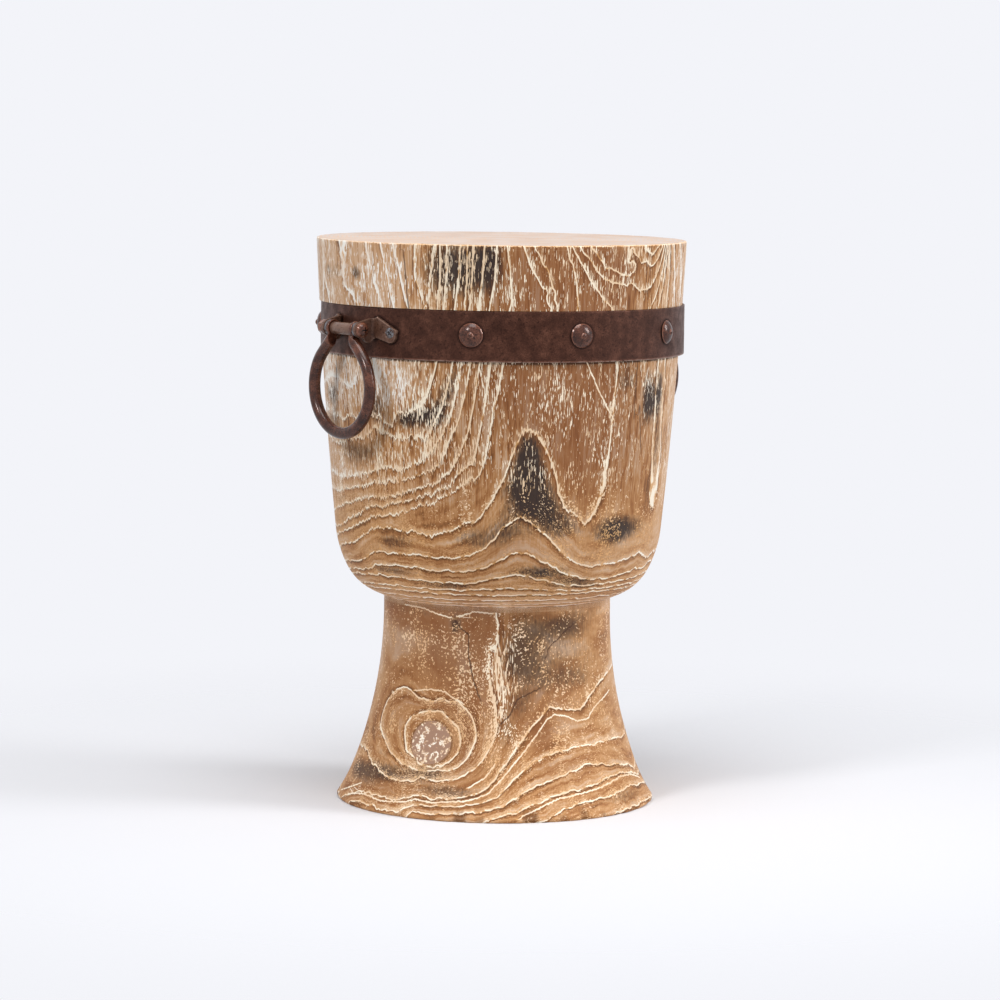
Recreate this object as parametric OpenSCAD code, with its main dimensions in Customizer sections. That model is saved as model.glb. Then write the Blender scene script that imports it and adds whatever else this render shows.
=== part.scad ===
// Drum stool turned from one log: an iron hoop is nailed round it and carries two swinging ring handles.
// Millimetres. +Z is up, the origin is the centre of the foot on the floor.
// Handle A is on the -X side, handle B on the +X side.

/* [Wooden body] */
// Height of the stool
stool_h = 450; // [420:1:500]
// Diameter of the seat
seat_d = 295; // [285:1:320]
// Rounding of the seat's rim
rim_r = 1.6; // [0.8:0.1:4]
// Height at which the side starts to turn under
bend_z = 219; // [205:1:235]
// Diameter of the bowl where the side starts to turn under
bend_d = 261; // [256:1:266]
// How far the side swells beyond a straight line from rim to bend
side_swell = 1.6; // [0.8:0.1:3]
// Height of the bowl's underside where it meets the foot
neck_z = 164; // [158:1:170]
// Diameter of the foot at its waist, under the bowl
neck_d = 182; // [168:1:190]
// Radius of the bowl's shoulder, the gentle first part of the turn
shoulder_r = 87; // [75:1:100]
// Tilt of the side where the shoulder ends, from upright
shoulder_tilt = 28.7; // [24:0.1:34]
// Radius of the tighter turn under the bowl
turn_r = 40.6; // [34:0.1:44]
// Tilt where the turn ends and the straight underside begins, from upright
under_tilt = 68.5; // [60:0.5:74]
// Greatest diameter of the foot
foot_d = 254.5; // [240:0.5:262]
// Height of the foot's narrowest place
waist_z = 153; // [140:1:156]
// Height at which the foot flares more
flare_z = 27; // [15:1:40]
// Radius of the foot's hollow side
hollow_r = 349; // [330:1:420]
// Rounding of the foot's edge on the floor
toe_r = 2; // [1.5:0.1:4]

/* [Hoop] */
// How far the hoop's middle is under the seat's face
hoop_drop = 70.3; // [55:0.1:90]
// Width of the strap
hoop_w = 39.4; // [34:0.1:46]
// Thickness of the strap
hoop_t = 2; // [1.5:0.1:3]
// How far the hoop stands out from the side at its middle
hoop_proud = 1.46; // [1:0.01:3]
// How far the hoop and its ironwork sit off the log's axis, along X
hoop_dx = 1.5; // [-2:0.1:2]
// The same along Y
hoop_dy = -0.6; // [-2:0.1:2]
// Gap between the hoop and its turned seat in the wood
hoop_gap = 0.15; // [0.1:0.05:0.3]

/* [Nails and domed washers] */
// Height of the nails above the hoop's middle
nail_rise = 1; // [-4:0.5:4]
// Diameter of a domed washer
dome_d = 18.6; // [16:0.1:20]
// How far a domed washer stands off the hoop
dome_h = 3.4; // [2.4:0.1:4.4]
// Sheet of a domed washer
dome_t = 1.2; // [1:0.1:1.5]
// Diameter of a nail's head
nail_head_d = 5.2; // [4:0.1:7]
// Height of a nail's head
nail_head_h = 1.5; // [1:0.1:2.2]
// Diameter of a nail's shank
nail_d = 3; // [2.4:0.1:3.6]
// Length of a nail under its head
nail_l = 38; // [30:1:50]

/* [Ring handle] */
// How far handle B is turned round the hoop from opposite handle A
handle_b_turn = 4.5; // [-4:0.1:6]
// Height of the bolt's axis above the hoop's middle
bolt_rise = 2.3; // [-2:0.1:4]
// Distance of the bolt's axis from the hoop's face
standoff = 11.9; // [11:0.1:14]
// Distance of the ring's centre under the bolt
ring_drop = 45.3; // [43.5:0.1:52]
// Radius of the ring's centre line
ring_r = 36; // [33:0.1:37]
// Diameter of the ring's rod
rod_d = 9.3; // [7.5:0.1:9.5]
// How far the ring hangs in front of the bolt
ring_offset = 2; // [0:0.1:2.6]
// Diameter of a flattened eye
eye_d = 13; // [12:0.1:13.6]
// Thickness of a flattened eye
eye_t = 3.2; // [2.6:0.1:3.6]
// Length of the spacer sleeve
sleeve_l = 26.2; // [24:0.1:32]
// Outer diameter of the spacer sleeve
sleeve_d = 9.5; // [9:0.1:10]

/* [Brackets] */
// Sheet of the brackets
sheet_t = 2.6; // [2:0.1:3]
// Inside radius of the fold
fold_r = 2.4; // [1.6:0.1:3]
// Diameter of an ear's round end
ear_d = 13; // [12.4:0.1:13.6]
// Radius of the rounded lobe under the ear
lobe_r = 4.9; // [4.4:0.1:5]
// Distance of the lobe's centre behind the bolt
lobe_back = 6.8; // [6.6:0.1:7.4]
// Distance of the lobe's centre under the bolt
lobe_drop = 5.2; // [4:0.1:5.4]
// Height of the ear's top above the bolt, at the hoop
ear_top = 8.8; // [7.5:0.1:10]
// Height of the tab's highest corner above the bolt
tab_top = 10.2; // [8.5:0.1:11.5]
// Distance of the fold's lower end under the bolt
fold_low = 5.2; // [4:0.1:7]
// Length of the tab along the hoop, from its fold
tab_l = 21.8; // [20.5:0.1:26]
// Distance of the tab's lowest edge under the bolt
tab_low = 9.8; // [8.6:0.1:11]
// Distance from there up to the tab's upper corner
tab_end_w = 10.8; // [9.6:0.1:12]
// Place of the screw along the tab, from its fold
screw_along = 14.7; // [13.5:0.1:16]
// Distance of the screw under the bolt
screw_drop = 1.9; // [0:0.1:3]

/* [Fasteners] */
// Diameter of the handle's bolt
bolt_d = 6; // [5:0.1:6.4]
// How far the bolt stands out of its nut
bolt_end = 2.5; // [1:0.5:9]
// Diameter of the bolt's pan head
pan_d = 11; // [10:0.1:12]
// Height of the bolt's pan head
pan_h = 3.8; // [3:0.1:4.4]
// Size of the nut across its flats
nut_w = 10; // [9:0.1:11]
// Height of the nut
nut_h = 5; // [4:0.1:6]
// Outer diameter of the plain washers
washer_d = 12; // [11:0.1:12.5]
// Thickness of the washer between eye and ear
eye_washer_t = 2.5; // [1.6:0.1:3]
// Thickness of the washers under head and nut
outer_washer_t = 1.4; // [1:0.1:2]
// Diameter of a bracket screw's countersunk head
screw_head_d = 8.2; // [7.5:0.1:8.8]
// Diameter of a bracket screw's shank
screw_d = 4.2; // [3.5:0.1:4.6]
// Length of a bracket screw
screw_l = 26; // [20:1:36]

/* [Fits] */
// Running clearance of eyes and sleeve round the bolt
run_gap = 0.1; // [0.05:0.01:0.1]
// Gap between pieces stacked along the bolt
stack_gap = 0.15; // [0.1:0.05:0.2]
// Gap between a fixed fastener and its hole
hole_gap = 0.1; // [0.05:0.05:0.3]
// Gap between sheet pieces that lie on each other
seat_gap = 0.05; // [0.02:0.01:0.1]

/* [Hidden] */
$fn = 96;

WOOD = "peru";
IRON = [0.28, 0.18, 0.14];
ZINC = [0.5, 0.48, 0.46];

// Bearings round the hoop's axis, from +X towards +Y: handle A looks along -X
angle_a = 180;
angle_b = handle_b_turn;
// The nails stand in the two gaps between the handles, unevenly spaced as they were driven by eye
nail_angles = [38, 71, 105, 138.5, -138.4, -103.9, -66.6, -23.5];
// Amount by which a cutter passes through what it cuts
over = 1;
fine_fn = 1440;
round_fn = 180;

// Side of the body: rim, bend, and the centre of the large arc between them
rim_p = [seat_d / 2, stool_h];
bend_p = [bend_d / 2, bend_z];
side_chord = norm(rim_p - bend_p);
side_arc_r = (side_chord * side_chord / 4 + side_swell * side_swell) / (2 * side_swell);
// Tilt of the side from upright at the bend
side_tilt = atan2(rim_p[0] - bend_p[0], rim_p[1] - bend_p[1]) + asin(side_chord / 2 / side_arc_r);

// End of an arc that goes down and inwards from p, while its tilt from upright grows from t0 to t1
function arc_end(p, r, t0, t1) = [p[0] - r * (cos(t0) - cos(t1)), p[1] - r * (sin(t1) - sin(t0))];
shoulder_p = arc_end(bend_p, shoulder_r, side_tilt, shoulder_tilt);
turn_p = arc_end(shoulder_p, turn_r, shoulder_tilt, under_tilt);
neck_p = [neck_d / 2, neck_z];
// Foot: the hollow arc's radius at a height, then a tighter flare down to the toe
function hollow_x(z) = neck_d / 2 + hollow_r - sqrt(hollow_r * hollow_r - (z - waist_z) * (z - waist_z));
flare_p = [hollow_x(flare_z), flare_z];
// The flare meets the rounded edge where that edge has this tilt
toe_tilt = 38;
toe_p = [foot_d / 2 - toe_r * (1 - cos(toe_tilt)), toe_r * (1 + sin(toe_tilt))];
flare_chord = norm(toe_p - flare_p);
// Tilt of the foot at the flare, and of the chord from there to the toe
flare_tilt = asin((waist_z - flare_z) / hollow_r);
chord_tilt = atan2(toe_p[0] - flare_p[0], flare_p[1] - toe_p[1]);
flare_r = flare_chord / 2 / sin(chord_tilt - flare_tilt);

// Hoop and its seat: it stands out from the large arc of the side
side_p = rim_p - [0, rim_r];
side_half = norm(bend_p - side_p) / 2;
side_way = (bend_p - side_p) / (2 * side_half);
side_c = (side_p + bend_p) / 2 - [-side_way[1], side_way[0]] * sqrt(side_arc_r * side_arc_r - side_half * side_half);
hoop_z = stool_h - hoop_drop;
hoop_r = side_c[0] + sqrt(side_arc_r * side_arc_r - pow(hoop_z - side_c[1], 2)) + hoop_proud;
hoop_in_r = hoop_r - hoop_t;
seat_r = hoop_in_r - hoop_gap;
hoop_low = hoop_z - hoop_w / 2;
nail_z = hoop_z + nail_rise;
dome_sphere_r = (dome_d * dome_d / 4 + dome_h * dome_h) / (2 * dome_h);
nail_hole_d = nail_d + 2 * hole_gap;

// Handle, in its own frame: x from the stool's axis outwards, y along the bolt, z up
bolt_x = hoop_r + standoff;
bolt_z = hoop_z + bolt_rise;
ring_x = bolt_x + ring_offset;
ring_z = bolt_z - ring_drop;
eye_y = sleeve_l / 2 + stack_gap;
eye_washer_y = eye_y + eye_t + stack_gap;
ear_y = eye_washer_y + eye_washer_t + stack_gap;
outer_washer_y = ear_y + sheet_t + seat_gap;
head_y = outer_washer_y + outer_washer_t + seat_gap;
bolt_tip_y = head_y + nut_h + bolt_end;
eye_hole_d = bolt_d + 2 * run_gap;
fixed_hole_d = bolt_d + 2 * hole_gap;

// Bracket: the tab lies round the hoop, and the fold's centre is off both sheets by the fold's radius
tab_in_r = hoop_r + seat_gap;
tab_out_r = tab_in_r + sheet_t;
fold_y = ear_y + sheet_t + fold_r;
fold_x = sqrt(pow(tab_out_r + fold_r, 2) - fold_y * fold_y);
fold_angle = atan2(fold_y, fold_x);
// The ear's outline holds up to here along the bolt, the tab's outline beyond
join_y = ear_y + sheet_t + 0.6 * fold_r;
function tab_angle(along) = fold_angle + along / hoop_r * 180 / PI;
tab_end_angle = tab_angle(tab_l);
screw_angle = tab_angle(screw_along);
screw_z = bolt_z - screw_drop;
screw_head_h = (screw_head_d - screw_d) / 2;
screw_hole_d = screw_d + 2 * hole_gap;
tab_end_y = hoop_r * sin(tab_end_angle);

// Segment between a chord from p to q and its arc of radius r, which lies to the left of p to q
module bulge(p, q, r, fn = round_fn) {
    half = norm(q - p) / 2;
    way = (q - p) / (2 * half);
    side = [-way[1], way[0]];
    centre = (p + q) / 2 - side * sqrt(r * r - half * half);
    reach = r - sqrt(r * r - half * half) + over;
    intersection() {
        translate(centre) circle(r, $fn = fn);
        polygon([p, q, q + side * reach, p + side * reach]);
    }
}

// Half of the body's section
module body_section() {
    difference() {
        union() {
            polygon([
                [0, 0], [foot_d / 2 - toe_r, 0], [foot_d / 2 - toe_r, toe_r], toe_p, flare_p,
                [neck_d / 2, waist_z], neck_p,
                turn_p, shoulder_p, bend_p, rim_p - [0, rim_r], rim_p - [rim_r, 0], [0, stool_h]
            ]);
            translate([foot_d / 2 - toe_r, toe_r]) circle(toe_r, $fn = round_fn);
            bulge(rim_p - [0, rim_r], bend_p, side_arc_r, fine_fn);
            bulge(bend_p, shoulder_p, shoulder_r);
            bulge(shoulder_p, turn_p, turn_r);
            bulge(rim_p - [rim_r, 0], rim_p - [0, rim_r], rim_r);
        }
        bulge(flare_p, [neck_d / 2, waist_z], hollow_r, fine_fn);
        bulge(toe_p, flare_p, flare_r);
    }
}

// Places its children at an angle round the hoop's axis, with +X pointing outwards
module round_at(angle, z = 0) {
    translate([hoop_dx, hoop_dy, z]) rotate([0, 0, angle]) children();
}

// Cylinder along +X from x0 to x1
module bar_x(x0, x1, d) {
    translate([x0, 0, 0]) rotate([0, 90, 0]) cylinder(h = x1 - x0, d = d);
}

// Cylinder along +Y from y0 to y1, centred on the bolt
module bar_y(y0, y1, d) {
    translate([bolt_x, y0, bolt_z]) rotate([-90, 0, 0]) cylinder(h = y1 - y0, d = d);
}

// Ring of sheet or tube round the bolt
module collar(y0, y1, d, bore) {
    difference() {
        bar_y(y0, y1, d);
        bar_y(y0 - over, y1 + over, bore);
    }
}

module wood_body() {
    color(WOOD) difference() {
        rotate_extrude($fn = 360) body_section();
        // The turned seat of the hoop
        difference() {
            translate([0, 0, hoop_low - seat_gap]) cylinder(h = hoop_w + 2 * seat_gap, d = 1.2 * seat_d, $fn = 360);
            round_at(0, hoop_low - over) cylinder(h = hoop_w + 2 * over, r = seat_r, $fn = 360);
        }
        for (a = nail_angles) round_at(a, nail_z)
            bar_x(hoop_r + dome_h - nail_l - over, seat_r + over, nail_hole_d);
        for (a = [angle_a, angle_b], s = [-1, 1]) round_at(a + s * screw_angle, screw_z)
            bar_x(tab_out_r - screw_l - over, seat_r + over, screw_hole_d);
    }
}

module hoop() {
    color(IRON) difference() {
        round_at(0, hoop_low) cylinder(h = hoop_w, r = hoop_r, $fn = 360);
        round_at(0, hoop_low - over) cylinder(h = hoop_w + 2 * over, r = hoop_in_r, $fn = 360);
        for (a = nail_angles) round_at(a, nail_z)
            bar_x(hoop_in_r - over, hoop_r + over, nail_hole_d);
        for (a = [angle_a, angle_b], s = [-1, 1]) round_at(a + s * screw_angle, screw_z)
            bar_x(hoop_in_r - over, hoop_r + over, screw_hole_d);
    }
}

// Section of a cap: the part of a circle whose top is at height h and whose foot has diameter d
module cap_section(d, h) {
    r = (d * d / 4 + h * h) / (2 * h);
    intersection() {
        translate([0, h - r]) circle(r, $fn = round_fn);
        square([r + over, h + over]);
    }
}

module nail_washers() {
    color(IRON) for (a = nail_angles) round_at(a, nail_z)
        translate([hoop_r + seat_gap, 0, 0]) rotate([0, 90, 0]) rotate_extrude() difference() {
            cap_section(dome_d, dome_h);
            translate([0, dome_h - dome_sphere_r]) circle(dome_sphere_r - dome_t, $fn = round_fn);
            translate([0, -over]) square([nail_hole_d / 2, dome_h + 2 * over]);
        }
}

module nails() {
    point_w = 0.6;
    color(IRON) for (a = nail_angles) round_at(a, nail_z)
        translate([hoop_r + dome_h + 2 * seat_gap, 0, 0]) rotate([0, 90, 0]) rotate_extrude() {
            cap_section(nail_head_d, nail_head_h);
            polygon([
                [0, -nail_l], [point_w / 2, -nail_l], [nail_d / 2, nail_d - nail_l],
                [nail_d / 2, nail_head_h / 2], [0, nail_head_h / 2]
            ]);
        }
}

// The ring's rod leaves its circle for each eye in a straight line, and is flattened there on both sides
module ring_handle() {
    // Angle from straight up at which the rod leaves the circle
    leave = 45;
    leave_p = [ring_r * sin(leave), ring_z + ring_r * cos(leave)];
    stub_l = (leave_p[0] - eye_y) / cos(leave) + rod_d;
    // The straight end starts inside the round part, and is thinner by this much, so that it meets only its end face
    joint_l = 0.4;
    joint_step = 0.04;
    // The flat on the outer side ends under the bolt in a ramp
    ramp_p = [eye_y + eye_t, bolt_z - eye_d / 2];
    ramp = [6, 2.6];
    low_z = ring_z - ring_r - rod_d;
    difference() {
        union() {
            translate([ring_x, 0, ring_z]) rotate([0, 90, 0]) rotate([0, 0, leave - 180])
                rotate_extrude(angle = 360 - 2 * leave) translate([ring_r, 0]) circle(d = rod_d);
            for (s = [-1, 1]) {
                intersection() {
                    translate([ring_x, s * leave_p[0], leave_p[1]]) rotate([s * (90 - leave), 0, 0])
                        translate([0, 0, -joint_l]) cylinder(h = stub_l + joint_l, d = rod_d - joint_step);
                    translate([ring_x - rod_d, 0, 0]) rotate([90, 0, 90])
                        linear_extrude(height = 2 * rod_d) polygon([
                            [s * eye_y, stool_h], [s * ramp_p[0], stool_h], [s * ramp_p[0], ramp_p[1]],
                            [s * (ramp_p[0] + ramp[0]), ramp_p[1] - ramp[1]],
                            [s * 2 * ring_r, ramp_p[1] - ramp[1]], [s * 2 * ring_r, low_z], [s * eye_y, low_z]
                        ]);
                }
                bar_y(s > 0 ? eye_y : -eye_y - eye_t, s > 0 ? eye_y + eye_t : -eye_y, eye_d);
            }
        }
        bar_y(-eye_washer_y, eye_washer_y, eye_hole_d);
    }
}

module sleeve() {
    collar(-sleeve_l / 2, sleeve_l / 2, sleeve_d, eye_hole_d);
}

module bolt() {
    pan_sphere_r = (pan_d * pan_d / 4 + pan_h * pan_h) / (2 * pan_h);
    slot_w = 1.2;
    slot_l = 6;
    slot_deep = 2;
    bar_y(-bolt_tip_y, head_y + pan_h / 2, bolt_d);
    difference() {
        intersection() {
            translate([bolt_x, head_y + pan_h - pan_sphere_r, bolt_z]) sphere(pan_sphere_r);
            bar_y(head_y, head_y + pan_h + over, pan_d + over);
        }
        for (turn = [0, 90]) translate([bolt_x, head_y + pan_h, bolt_z]) rotate([0, turn, 0])
            cube([slot_l, 2 * slot_deep, slot_w], center = true);
    }
}

module nut() {
    difference() {
        translate([bolt_x, -head_y, bolt_z]) rotate([90, 0, 0])
            cylinder(h = nut_h, d = nut_w / cos(30), $fn = 6);
        bar_y(-head_y - nut_h - over, -head_y + over, fixed_hole_d);
    }
}

module eye_washers() {
    for (s = [-1, 1]) {
        mid = s * (eye_washer_y + eye_washer_t / 2);
        collar(mid - eye_washer_t / 2, mid + eye_washer_t / 2, washer_d, fixed_hole_d);
    }
}

module outer_washers() {
    for (s = [-1, 1]) {
        mid = s * (outer_washer_y + outer_washer_t / 2);
        collar(mid - outer_washer_t / 2, mid + outer_washer_t / 2, washer_d, fixed_hole_d);
    }
}

// The bracket on the +Y side, seen from above: ear, fold and tab
module bracket_plan() {
    reach = 2 * hoop_r;
    ear_end = bolt_x + ear_d / 2 + over;
    translate([fold_x, ear_y]) square([ear_end - fold_x, sheet_t]);
    intersection() {
        translate([fold_x, fold_y]) difference() {
            circle(fold_r + sheet_t);
            circle(fold_r);
        }
        translate([fold_x, fold_y])
            polygon([[0, 0], [0, -reach], [-reach, -reach], [-reach * cos(fold_angle), -reach * sin(fold_angle)]]);
    }
    intersection() {
        difference() {
            circle(tab_out_r, $fn = fine_fn);
            circle(tab_in_r, $fn = fine_fn);
        }
        polygon([[0, 0], reach * [cos(fold_angle), sin(fold_angle)], reach * [cos(tab_end_angle), sin(tab_end_angle)]]);
    }
}

// Outline of the ear, seen along the bolt: x outwards, y up
module ear_outline() {
    fold_in = tab_in_r - standoff;
    translate([bolt_x, bolt_z]) circle(d = ear_d);
    translate([bolt_x - lobe_back, bolt_z - lobe_drop]) circle(lobe_r);
    polygon([
        [fold_in, bolt_z - fold_low], [fold_in, bolt_z + ear_top], [fold_x, bolt_z + ear_top],
        [bolt_x + 0.1 * ear_d, bolt_z + ear_d / 2 * cos(12)], [bolt_x, bolt_z - lobe_drop],
        [bolt_x - lobe_back, bolt_z - lobe_drop - 0.6 * lobe_r]
    ]);
}

// Outline of the tab, seen from in front: x along the hoop, y up
module tab_outline() {
    low = bolt_z - tab_low;
    // Radii of the end's lower and upper corner
    low_r = 5.4;
    top_r = 2;
    // The straight edges meet the corners' circles a little inside them
    inset = 0.985;
    low_c = [tab_end_y - low_r - 0.9, low + low_r];
    top_c = [tab_end_y - top_r, low + tab_end_w - top_r];
    translate(low_c) circle(low_r, $fn = round_fn);
    translate(top_c) circle(top_r, $fn = round_fn);
    polygon([
        [0, bolt_z - fold_low], [fold_y - fold_r, bolt_z - fold_low], low_c + inset * low_r * [cos(-100), sin(-100)],
        low_c, low_c + inset * low_r * [cos(8), sin(8)], top_c + inset * top_r * [cos(8), sin(8)],
        top_c, top_c + inset * top_r * [cos(60), sin(60)],
        [fold_y + 1.6, bolt_z + tab_top], [join_y, bolt_z + ear_top], [0, bolt_z + ear_top]
    ]);
}

module bracket_right() {
    reach = bolt_x + ear_d;
    difference() {
        intersection() {
            translate([0, 0, hoop_low]) linear_extrude(height = 2 * hoop_w) bracket_plan();
            union() {
                translate([0, join_y, 0]) rotate([90, 0, 0])
                    linear_extrude(height = sheet_t + fold_r) ear_outline();
                intersection() {
                    rotate([90, 0, 90]) linear_extrude(height = reach) tab_outline();
                    translate([0, join_y - 0.2 * fold_r, 0]) cube([reach, reach, stool_h]);
                }
            }
        }
        bar_y(ear_y - over, ear_y + sheet_t + over, fixed_hole_d);
        rotate([0, 0, screw_angle]) translate([0, 0, screw_z]) {
            bar_x(tab_in_r - over, tab_out_r + over, screw_hole_d);
            translate([tab_out_r - screw_head_h - hole_gap, 0, 0]) rotate([0, 90, 0])
                cylinder(h = screw_head_h + over, d1 = screw_hole_d, d2 = screw_hole_d + 2 * (screw_head_h + over));
        }
    }
}

module bracket(side) {
    if (side > 0) bracket_right();
    else mirror([0, 1, 0]) bracket_right();
}

module bracket_screws() {
    slot_w = 1;
    slot_l = 4.6;
    slot_deep = 1.3;
    for (s = [-1, 1]) rotate([0, 0, s * screw_angle]) translate([0, 0, screw_z]) difference() {
        union() {
            bar_x(tab_out_r - screw_l + screw_d, tab_out_r - screw_head_h / 2, screw_d);
            translate([tab_out_r - screw_l, 0, 0]) rotate([0, 90, 0])
                cylinder(h = screw_d, d1 = 0.8, d2 = screw_d);
            translate([tab_out_r - screw_head_h, 0, 0]) rotate([0, 90, 0])
                cylinder(h = screw_head_h, d1 = screw_d, d2 = screw_head_d);
        }
        for (turn = [0, 90]) translate([tab_out_r, 0, 0]) rotate([turn, 0, 0])
            cube([2 * slot_deep, slot_l, slot_w], center = true);
    }
}

wood_body();
hoop();
nail_washers();
nails();
round_at(angle_a) color(IRON) ring_handle();  // ring_handle_a
round_at(angle_a) color(IRON) sleeve();  // sleeve_a
round_at(angle_a) color(IRON) bolt();  // bolt_a
round_at(angle_a) color(IRON) nut();  // nut_a
round_at(angle_a) color(ZINC) eye_washers();  // eye_washers_a
round_at(angle_a) color(IRON) outer_washers();  // outer_washers_a
round_at(angle_a) color(IRON) bracket(-1);  // bracket_a_left
round_at(angle_a) color(IRON) bracket(1);  // bracket_a_right
round_at(angle_a) color(ZINC) bracket_screws();  // bracket_screws_a
round_at(angle_b) color(IRON) ring_handle();  // ring_handle_b
round_at(angle_b) color(IRON) sleeve();  // sleeve_b
round_at(angle_b) color(IRON) bolt();  // bolt_b
round_at(angle_b) color(IRON) nut();  // nut_b
round_at(angle_b) color(ZINC) eye_washers();  // eye_washers_b
round_at(angle_b) color(IRON) outer_washers();  // outer_washers_b
round_at(angle_b) color(IRON) bracket(-1);  // bracket_b_left
round_at(angle_b) color(IRON) bracket(1);  // bracket_b_right
round_at(angle_b) color(ZINC) bracket_screws();  // bracket_screws_b
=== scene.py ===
"""Stool turned from one teak log, limed, with a nailed iron hoop and two swinging ring handles.

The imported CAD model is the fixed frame. The log, the hoop, the nails and the small hardware are made anew here. The
ring handles and brackets are the CAD's shapes under a new skin with rounded, rubbed edges. Everything is in metres, in
the CAD's frame. The tables give bearings in degrees and heights in millimetres on the log.
"""

from __future__ import annotations

import logging
import math
from dataclasses import dataclass, field
from enum import Enum
from typing import Any, Sequence, Union

import bmesh
import bpy
import numpy as np
from bpy.types import Material, Mesh, Node, NodeSocket, NodeTree, Object
from mathutils import Matrix, Vector


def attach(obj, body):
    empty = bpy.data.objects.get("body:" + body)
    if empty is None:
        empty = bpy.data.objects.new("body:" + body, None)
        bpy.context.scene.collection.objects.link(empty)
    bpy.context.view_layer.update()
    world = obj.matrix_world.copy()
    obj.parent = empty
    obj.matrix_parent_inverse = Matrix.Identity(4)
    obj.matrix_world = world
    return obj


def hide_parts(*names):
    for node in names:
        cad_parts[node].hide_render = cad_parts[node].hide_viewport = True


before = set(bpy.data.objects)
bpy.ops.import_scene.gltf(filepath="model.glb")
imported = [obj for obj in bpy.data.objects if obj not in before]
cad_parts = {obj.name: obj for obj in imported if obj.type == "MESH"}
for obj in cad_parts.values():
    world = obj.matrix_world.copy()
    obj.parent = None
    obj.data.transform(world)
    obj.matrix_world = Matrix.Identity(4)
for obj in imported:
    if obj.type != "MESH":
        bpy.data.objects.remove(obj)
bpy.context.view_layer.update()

# Types that repeat
Pair = tuple[float, float]
Triple = tuple[float, float, float]

LOG = logging.getLogger("stool")
MM = 0.001
ROOT_BODY = "stool"
# The photograph's frame in pixels, and the camera's sensor in millimetres
FRAME_PX = 1000
SENSOR_MM = 36.0
# Bearing of the camera from the stool's axis, which is where angle 0 of the figure on the wood lies
CAMERA_BEARING = -128.8
# Where the axis of the hoop and its ironwork stands, in millimetres from the log's axis
HOOP_AXIS_MM = (1.5, -0.6)


class Slot(Enum):
    """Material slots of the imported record."""

    TEAK = "limed_teak"
    IRON = "rusty_iron"
    ZINC = "dull_zinc"


def linear(code: str) -> tuple[float, float, float, float]:
    """Turns an sRGB hex colour into linear RGBA."""
    parts = [int(code[i : i + 2], 16) / 255 for i in (1, 3, 5)]
    return (*(c / 12.92 if c <= 0.04045 else ((c + 0.055) / 1.055) ** 2.4 for c in parts), 1.0)


def add(tree: NodeTree, kind: str, inputs: dict | None = None, **settings: Any) -> Node:
    """Adds a node with its settings and its input values or links.

    Args:
        tree: Shader or geometry tree.
        kind: The node's type name.
        inputs: Values or output sockets by input name or index.
        **settings: Attributes of the node. For a colour ramp, "stops" is each stop's position and hex colour.

    Returns:
        The node.
    """
    made = tree.nodes.new(kind)
    stops = settings.pop("stops", ())
    for name, value in settings.items():
        setattr(made, name, value)
    for _ in stops[2:]:
        made.color_ramp.elements.new(1.0)
    for i, (position, code) in enumerate(stops):
        made.color_ramp.elements[i].position = position
        made.color_ramp.elements[i].color = linear(code)
    for name, value in (inputs or {}).items():
        socket = made.inputs[name]
        if isinstance(value, NodeSocket):
            tree.links.new(value, socket)
        else:
            socket.default_value = value
    return made


def link_object(name: str, mesh: Mesh) -> Object:
    """Puts a mesh into the scene.

    Args:
        name: Name of the object.
        mesh: Its mesh.

    Returns:
        The object, at the origin.
    """
    made = bpy.data.objects.new(name, mesh)
    bpy.context.scene.collection.objects.link(made)
    return made


def baked(made: Object) -> Mesh:
    """Works out an object's mesh with its modifiers."""
    graph = bpy.context.evaluated_depsgraph_get()
    return bpy.data.meshes.new_from_object(made.evaluated_get(graph), depsgraph=graph)


def write(mesh: Mesh, name: str, values: Sequence[float] | np.ndarray) -> None:
    """Writes a value for each point of a mesh as an attribute."""
    mesh.attributes.new(name, "FLOAT", "POINT").data.foreach_set("value", np.asarray(values, np.float32))


def read(mesh: Mesh, name: str) -> np.ndarray:
    """Reads a vector of each vertex of a mesh.

    Args:
        mesh: The mesh.
        name: "co" or "normal".

    Returns:
        A row for each vertex.
    """
    flat = np.empty(len(mesh.vertices) * 3, np.float32)
    mesh.vertices.foreach_get(name, flat)
    return flat.reshape(-1, 3)


def turned_back(degrees: Any) -> Any:
    """Brings a bearing or an array of them between -180 and 180 degrees."""
    return (degrees + 180) % 360 - 180


def smooth(mesh: Mesh, sharp_degrees: float = 35.0) -> None:
    """Shades a mesh smooth, apart from edges sharper than an angle."""
    mesh.shade_smooth()
    mesh.set_sharp_from_angle(angle=math.radians(sharp_degrees))


# A pattern written down: a number, a vector as a list, "#rrggbb", the name of an earlier result, or a tuple of a kind
# of node, its inputs in order and perhaps a dict of its own settings
Formula = Union[float, str, list, tuple]
# Arithmetic in formulas, by its sign
SIGNS = {"+": "ADD", "-": "SUBTRACT", "*": "MULTIPLY", "/": "DIVIDE", "*+": "MULTIPLY_ADD"}
SPAN = ("Value", "From Min", "From Max", "To Min", "To Max")
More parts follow.
